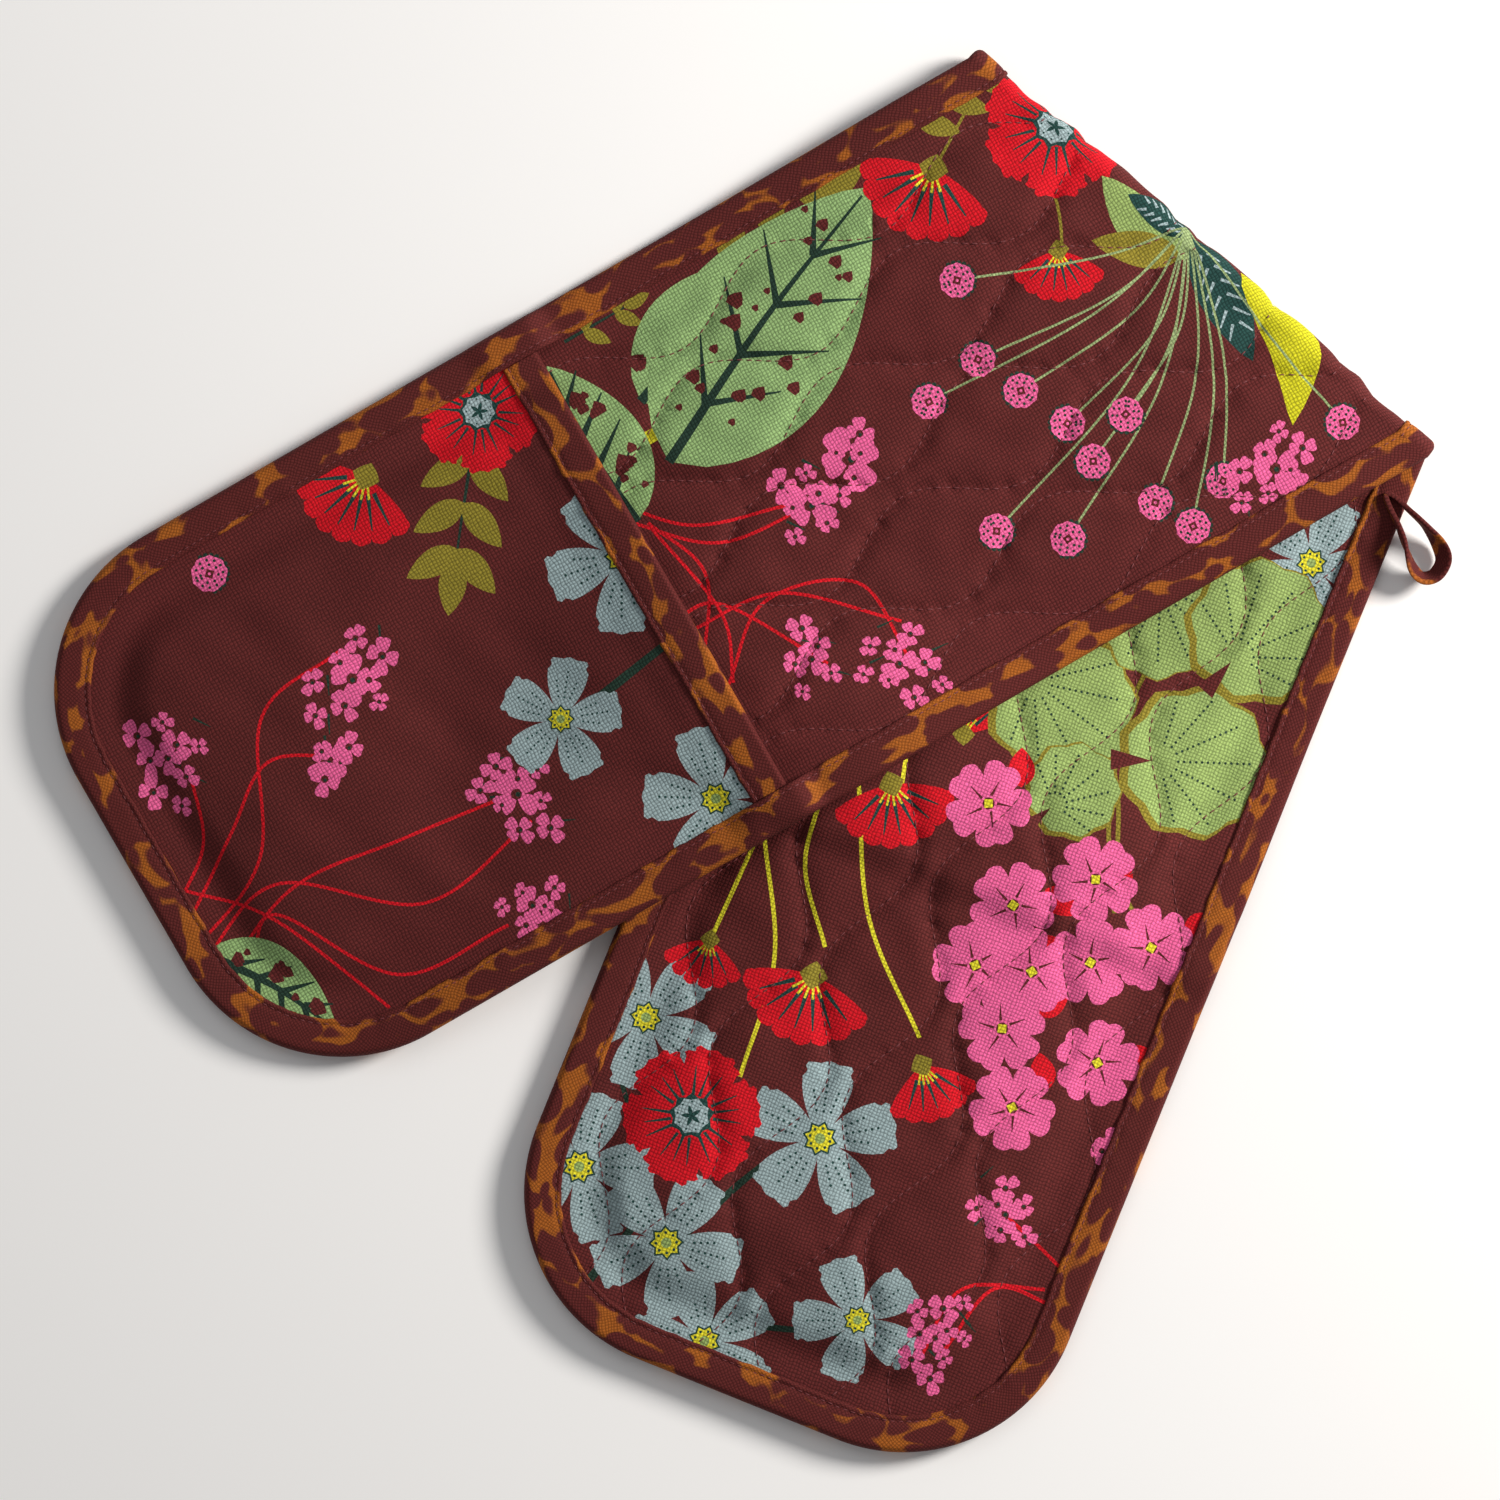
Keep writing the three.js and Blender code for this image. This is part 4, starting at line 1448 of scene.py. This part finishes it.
def make_edge_binding(tape):
    """One tape round the whole strip: along the upper half, round the fold, along the lower
    half and round the fold again, cut into pieces where the halves meet the fold."""
    profile, lining = tape_profile(BINDING_WIDTH)
    run = edge_run(TAPE_ROWS)
    distance = travelled(np.concatenate([run.base, np.zeros((len(run.base), 1))], axis=1) * MM)
    turns = np.linspace(0, math.pi, BEND_STEPS + 1)[1:-1]

    def skin(section):
        upper = tape_on_half(UPPER, run, section, bound_height, back_height, distance)
        lower = tape_on_half(LOWER, run, section, bound_height, back_height, distance)
        return np.concatenate([
            upper, tape_round_fold(-1, section, turns),
            lower[::-1], tape_round_fold(1, section, turns[::-1]), upper[:1],
        ])

    outer, inner = skin(profile), skin(lining)
    rows, columns = outer.shape[:2]
    middle = columns // 2
    round_section = travelled(outer[0])
    cloth = np.stack(np.broadcast_arrays(
        travelled(outer[:, middle])[:, None], round_section[None, :]
    ), axis=-1).reshape(-1, 2)
    outer, inner = outer.reshape(-1, 3), inner.reshape(-1, 3)
    triangles = grid_triangles(rows, columns)
    normals = point_normals(outer, triangles)
    ends = normals[:columns] + normals[-columns:]
    normals[:columns] = normals[-columns:] = unit(ends)
    row = (triangles // columns).min(axis=1)
    half_rows, fold_rows = len(run.base), len(turns) + 1
    marks = np.cumsum([0, half_rows - 1, fold_rows, half_rows - 1, fold_rows])
    for name, stands_for, part, first, last in zip(
        ("upper_edge_tape", "fold_far_side_tape", "lower_edge_tape", "fold_loop_side_tape"),
        ("upper_edge_binding", "fold_binding_far_side", "lower_edge_binding",
         "fold_binding_loop_side"),
        ("upper", "fold", "lower", "fold"), marks, marks[1:],
    ):
        chosen = triangles[(row >= first) & (row < last)]
        piece = shell(name, outer, inner, normals, chosen, cloth, None, None, tape)
        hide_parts(stands_for)
        attach(piece, part)


def make_mouth_binding(part, half, tape):
    """The tape folded over a pocket's mouth, between the edge tapes."""
    profile, lining = tape_profile(MOUTH_BINDING_WIDTH, lip=1.6)
    reach = HALF_WIDTH - BINDING_WIDTH - 0.1
    across = np.linspace(-reach, reach, round(2 * reach / TAPE_ROWS))
    uneven = unevenness(across, profile, 50 + half.side)

    def skin(section):
        inset = section.inset + 0.2 * uneven
        along = MOUTH + inset
        seat = MOUTH + np.maximum(inset, TAPE_STEP)
        side = np.broadcast_to(across[:, None], along.shape)
        rise = section.rise * (1 + 0.15 * uneven)
        height = lerp(
            lining_height(half, seat, side) - rise, pocket_height(half, seat, side) + rise,
            section.share,
        )
        return place(half, along, side, height)

    outer, inner = skin(profile), skin(lining)
    rows, columns = outer.shape[:2]
    cloth = np.stack(np.broadcast_arrays(
        travelled(outer[:, columns // 2])[:, None], travelled(outer[rows // 2])[None, :]
    ), axis=-1).reshape(-1, 2)
    triangles = grid_triangles(rows, columns)[:, ::-half.side]
    outer = outer.reshape(-1, 3)
    normals = point_normals(outer, triangles)
    piece = shell(f"{part}_mouth_tape", outer, inner.reshape(-1, 3), normals, triangles, cloth,
                  None, None, tape)
    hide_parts(f"{part}_mouth_binding")
    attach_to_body(piece, half.body)


# Hanging loop -------------------------------------------------------------------------------


def closed_path(points, count):
    """A smooth closed path through points, with evenly spaced places."""
    points = np.asarray(points, float)
    t = np.linspace(0, 1, 24, endpoint=False)[:, None]
    found = []
    for k in range(len(points)):
        a, b, c, d = (points[(k + j) % len(points)] for j in (-1, 0, 1, 2))
        found.append(catmull_rom(a, b, c, d, t))
    path = np.concatenate([*found, points[:1]])
    gone = np.concatenate([[0], np.cumsum(np.linalg.norm(np.diff(path, axis=0), axis=1))])
    even = np.linspace(0, gone[-1], count, endpoint=False)
    return np.stack([np.interp(even, gone, path[:, k]) for k in (0, 1)], axis=1)


def tape_section(thickness, corners=5):
    """Half of a flat tape's section with round edges: share of the height, and sideways."""
    turn = np.linspace(0, math.pi / 2, corners)
    low = np.stack([0.12 * (1 - np.cos(turn)), thickness / 2 * np.sin(turn)], axis=1)
    side = between([0.12, thickness / 2], [0.88, thickness / 2], 7)
    return np.concatenate([low, side, (low * [-1, 1] + [1, 0])[::-1]])


def make_loop(tape):
    """A narrow folded tape on edge, sewn on by its ends: it leans over where it turns back."""
    path = closed_path(np.array(LOOP_ROUTE) + LOOP_SEAM, LOOP_ROWS)
    heading = unit(np.roll(path, -1, axis=0) - np.roll(path, 1, axis=0))
    aside = np.stack([heading[:, 1], -heading[:, 0]], axis=1)
    away = np.linalg.norm(path - LOOP_SEAM, axis=1)
    along = path[:, 0] * SIN - path[:, 1] * COS
    across = path[:, 0] * COS + path[:, 1] * SIN
    past = -edge_distance(along, across)
    on_binding = lower_back(along, across) + TAPE_STEP + SEAM_GAP
    bottom = lerp(on_binding, LOOP_LOW, smoothstep(past, *LOOP_DROP))
    height = lerp(LOOP_HEIGHT_AT_SEAM, LOOP_HEIGHT, smoothstep(away, *LOOP_WIDEN))
    lean = LOOP_LEAN * smoothstep(away, 14, 28)
    section = tape_section(LOOP_TAPE)
    section = np.concatenate([section, (section * [1, -1])[-2:0:-1]])
    share, side = section[:, 0], section[:, 1]
    rise = height[:, None] * share * np.cos(lean)[:, None]
    out = side + height[:, None] * (share - 0.5) * np.sin(lean)[:, None]
    x = path[:, :1] + aside[:, :1] * out
    y = path[:, 1:] + aside[:, 1:] * out
    points = to_row(x, y, bottom[:, None] + rise)
    rows, columns = len(path), len(share)
    triangles = grid_triangles(rows, columns, closed=True)[:, ::-1]
    gone = travelled(np.concatenate([path, np.zeros((rows, 1))], axis=1) * MM)
    width = np.where(side >= 0, share * LOOP_HEIGHT, (2 - share) * LOOP_HEIGHT)
    cloth = np.stack(np.broadcast_arrays(gone[:, None], width[None, :]), axis=-1).reshape(-1, 2)
    points = points.reshape(-1, 3)
    piece = new_piece(
        "loop_tape", points, triangles, point_normals(points, triangles)[triangles.ravel()],
        cloth, None, tape,
    )
    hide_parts("hanging_loop")
    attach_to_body(piece, "loop")


# Stitches -----------------------------------------------------------------------------------


def stitch_tree(thread):
    """Stitches along edges: each lies along its line, sunk half into the cloth. The edges carry
    the way out of the cloth as the attribute "up"."""
    tree = bpy.data.node_groups.new("stitches_along_lines", "GeometryNodeTree")
    face = tree.interface
    face.new_socket("Lines", in_out="INPUT", socket_type="NodeSocketGeometry")
    for name, value in (("Pitch", 3 * MM), ("Length", 2.3 * MM), ("Thickness", 0.5 * MM)):
        face.new_socket(name, in_out="INPUT", socket_type="NodeSocketFloat").default_value = value
    face.new_socket("Stitches", in_out="OUTPUT", socket_type="NodeSocketGeometry")
    given = node(tree, "NodeGroupInput").outputs
    curves = node(tree, "GeometryNodeMeshToCurve", {"Mesh": given["Lines"]}).outputs["Curve"]
    places = node(tree, "GeometryNodeResampleCurve", {
        "Curve": curves, "Length": given["Pitch"],
    }, mode="LENGTH").outputs["Curve"]
    bead = node(tree, "GeometryNodeMeshUVSphere", {
        "Segments": 6, "Rings": 4, "Radius": 0.5,
    }).outputs["Mesh"]
    size = node(tree, "ShaderNodeCombineXYZ", {
        "X": given["Length"], "Y": given["Thickness"], "Z": given["Thickness"],
    }).outputs["Vector"]
    bead = node(tree, "GeometryNodeTransform", {"Geometry": bead, "Scale": size})
    heading = node(tree, "GeometryNodeInputTangent").outputs["Tangent"]
    along = node(tree, "FunctionNodeAlignRotationToVector", {"Vector": heading}, axis="X")
    up = node(tree, "GeometryNodeInputNamedAttribute", {"Name": "up"}, data_type="FLOAT_VECTOR")
    turned = node(tree, "FunctionNodeAlignRotationToVector", {
        "Rotation": along.outputs["Rotation"], "Vector": up.outputs["Attribute"],
    }, axis="Z", pivot_axis="X")
    placed = node(tree, "GeometryNodeInstanceOnPoints", {
        "Points": places, "Instance": bead.outputs["Geometry"],
        "Rotation": turned.outputs["Rotation"],
    }).outputs["Instances"]
    real = node(tree, "GeometryNodeRealizeInstances", {"Geometry": placed}).outputs["Geometry"]
    done = node(tree, "GeometryNodeSetMaterial", {"Geometry": real, "Material": thread})
    node(tree, "NodeGroupOutput", {"Stitches": done.outputs["Geometry"]})
    return tree


def sew(name, lines, tree, pitch, thickness):
    """Stitches along lines, each a pair of rows of points: on the cloth, and the way out."""
    points = np.concatenate([points for points, _ in lines])
    starts = np.cumsum([0] + [len(points) for points, _ in lines])
    edges = [(k, k + 1) for a, b in zip(starts, starts[1:]) for k in range(a, b - 1)]
    mesh = bpy.data.meshes.new(name)
    mesh.from_pydata([tuple(p) for p in points], edges, [])
    ups = mesh.attributes.new("up", "FLOAT_VECTOR", "POINT")
    ups.data.foreach_set("vector", np.concatenate([up for _, up in lines]).ravel())
    guide = bpy.data.objects.new(f"{name}_lines", mesh)
    bpy.context.scene.collection.objects.link(guide)
    sewn = guide.modifiers.new("stitches", "NODES")
    sewn.node_group = tree
    values = {"Pitch": pitch * MM, "Length": STITCH_SHARE * pitch * MM, "Thickness": thickness * MM}
    for item in tree.interface.items_tree:
        if item.in_out == "INPUT" and item.name in values:
            sewn[item.identifier] = values[item.name]
    made = bpy.data.meshes.new_from_object(
        guide.evaluated_get(bpy.context.evaluated_depsgraph_get())
    )
    guide.modifiers.clear()
    bpy.data.objects.remove(guide)
    made.name = name
    made.polygons.foreach_set("use_smooth", np.ones(len(made.polygons), bool))
    piece = bpy.data.objects.new(name, made)
    bpy.context.scene.collection.objects.link(piece)
    return piece


def raised(low, high, lift):
    """A line of points on the cloth, raised towards a second line, and the way there."""
    up = unit(high - low)
    return low + up * lift * MM, up


def quilting_rows(band, height, outward):
    """The quilting lines of a cover, sorted by the half or the fold band that they are on."""

    def laid(cloth):
        low = lay_strip(cloth, band, height)
        high = lay_strip(cloth, band, lambda spot, edge: height(spot, edge) + outward)
        return raised(low, high, CLOTH_LIFT)

    lines = stitched_lines(band, LINE_STEP, BINDING_WIDTH)
    found = {"upper": lines[::2], "lower": lines[1::2], "fold": []}
    for upper, lower in zip(found["upper"], found["lower"]):
        ends = [upper[np.argmin(np.hypot(*(upper - e).T))] for e in lower]
        nearest = np.argmin([np.hypot(*(e - l)) for e, l in zip(ends, lower)])
        found["fold"].append(between(ends[nearest], lower[nearest], BEND_STEPS))
    for part in ("upper", "lower"):
        found[part] = [line[2:] for line in found[part]]
    return {part: [laid(line) for line in rows] for part, rows in found.items()}


def tape_rows(half, share):
    """The stitch line of the edge tape on one side of a half."""
    run = edge_run(TAPE_ROWS)
    inset = np.array([BINDING_WIDTH - HEM_STITCH])
    distance = np.arange(len(run.base)) * TAPE_ROWS

    def skin(rise):
        profile = Profile(inset, np.array([rise]), np.array([share]))
        laid = tape_on_half(half, run, profile, bound_height, back_height, distance)
        return laid[2:-2, 0]

    return raised(skin(HEM_DENT), skin(HEM_DENT + 1), TAPE_LIFT)


def fold_rows(side, share):
    turns = np.linspace(0, math.pi, 2 * BEND_STEPS)
    inset = np.array([BINDING_WIDTH - HEM_STITCH])

    def skin(rise):
        return tape_round_fold(side, Profile(inset, np.array([rise]), np.array([share])), turns)

    return raised(skin(HEM_DENT)[:, 0], skin(HEM_DENT + 1)[:, 0], TAPE_LIFT)


def mouth_row(half):
    reach = HALF_WIDTH - BINDING_WIDTH - 1
    across = np.linspace(-reach, reach, 100)
    along = np.full_like(across, MOUTH + MOUTH_BINDING_WIDTH - HEM_STITCH)
    height = pocket_height(half, along, across) + HEM_DENT
    return raised(
        place(half, along, across, height), place(half, along, across, height + 1), TAPE_LIFT
    )


def sew_everything(thread):
    tree = stitch_tree(thread)
    faces = quilting_rows(FACE_BAND, face_rise, 1)
    backs = quilting_rows(BACK_BAND, back_rise, -1)
    halves = {"upper": UPPER, "lower": LOWER}
    for part, half in halves.items():
        rows = faces[part] + backs[part]
        quilting = sew(f"{part}_quilting_stitches", rows, tree, QUILT_STITCH, QUILT_THREAD)
        rows = [tape_rows(half, 1.0), tape_rows(half, 0.0), mouth_row(half)]
        hem = sew(f"{part}_binding_stitches", rows, tree, BINDING_STITCH, BINDING_THREAD)
        for piece in (quilting, hem):
            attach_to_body(piece, half.body)
    rows = [fold_rows(side, 1.0) for side in (-1, 1)]
    quilting = sew("fold_quilting_stitches", faces["fold"], tree, QUILT_STITCH, QUILT_THREAD)
    hem = sew("fold_binding_stitches", rows, tree, BINDING_STITCH, BINDING_THREAD)
    for piece in (quilting, hem):
        attach(piece, "fold")


# Scene --------------------------------------------------------------------------------------


def light(name, place_at, size, power, colour):
    lamp = bpy.data.lights.new(name, "AREA")
    lamp.shape = "DISK"
    lamp.size = size
    lamp.energy = power
    lamp.color = linear(colour)[:3]
    made = bpy.data.objects.new(name, lamp)
    made.location = place_at
    made.rotation_euler = Vector(place_at).to_track_quat("Z", "Y").to_euler()
    bpy.context.scene.collection.objects.link(made)


def set_scene():
    """A white table under soft light from the right, seen from straight above."""
    scene = bpy.context.scene
    camera = bpy.data.cameras.new("camera")
    camera.lens = CAMERA_LENS
    camera.dof.use_dof = False
    viewer = bpy.data.objects.new("camera", camera)
    viewer.location = (0, 0, CAMERA_HEIGHT)
    scene.collection.objects.link(viewer)
    scene.camera = viewer
    scene.view_settings.view_transform = "Standard"
    world = bpy.data.worlds.new("soft_studio")
    world.use_nodes = True
    world.node_tree.nodes["Background"].inputs["Color"].default_value = (1, 1, 1, 1)
    world.node_tree.nodes["Background"].inputs["Strength"].default_value = WORLD_LIGHT
    scene.world = world
    light("key_light", KEY_PLACE, KEY_SIZE, KEY_LIGHT, "#FFFAF4")
    light("top_light", TOP_PLACE, TOP_SIZE, TOP_LIGHT, "#FBFCFF")
    table, _, _ = material(
        "white_paper_backdrop", Base_Color=linear("#FFFFFF"), Roughness=1.0,
        Specular_IOR_Level=0.0,
    )
    corners = TABLE_REACH * np.array([[-1, -1, 0], [1, -1, 0], [1, 1, 0], [-1, 1, 0]])
    floor = new_piece("table", corners, np.array([[0, 1, 2], [0, 2, 3]]), finish=table)


def main():
    set_scene()
    canvas = printed_canvas()
    tape = binding_tape()
    lining = plain_cotton("undyed_cotton_lining", "#D9CFBF", 0.7, 0.9)
    fill = cotton_wadding()
    garden = on_cloth(UPPER, garden_print(), 0)
    pocket = on_cloth(UPPER, pocket_print(), 0)
    face = make_cover(
        "face", FACE_BAND, face_rise, 1,
        garden + on_cloth(LOWER, meadow_print(), FACE_BAND), canvas,
    )
    back = make_cover(
        "back", BACK_BAND, back_rise, -1,
        pocket + garden + on_cloth(LOWER, meadow_print(), BACK_BAND), canvas,
    )
    make_wadding(fill)
    for part, half in (("upper", UPPER), ("lower", LOWER)):
        make_pocket(part, half, pocket, canvas, lining, fill)
        make_mouth_binding(part, half, tape)
    make_edge_binding(tape)
    make_loop(tape)
    sew_everything(sewing_thread())


main()
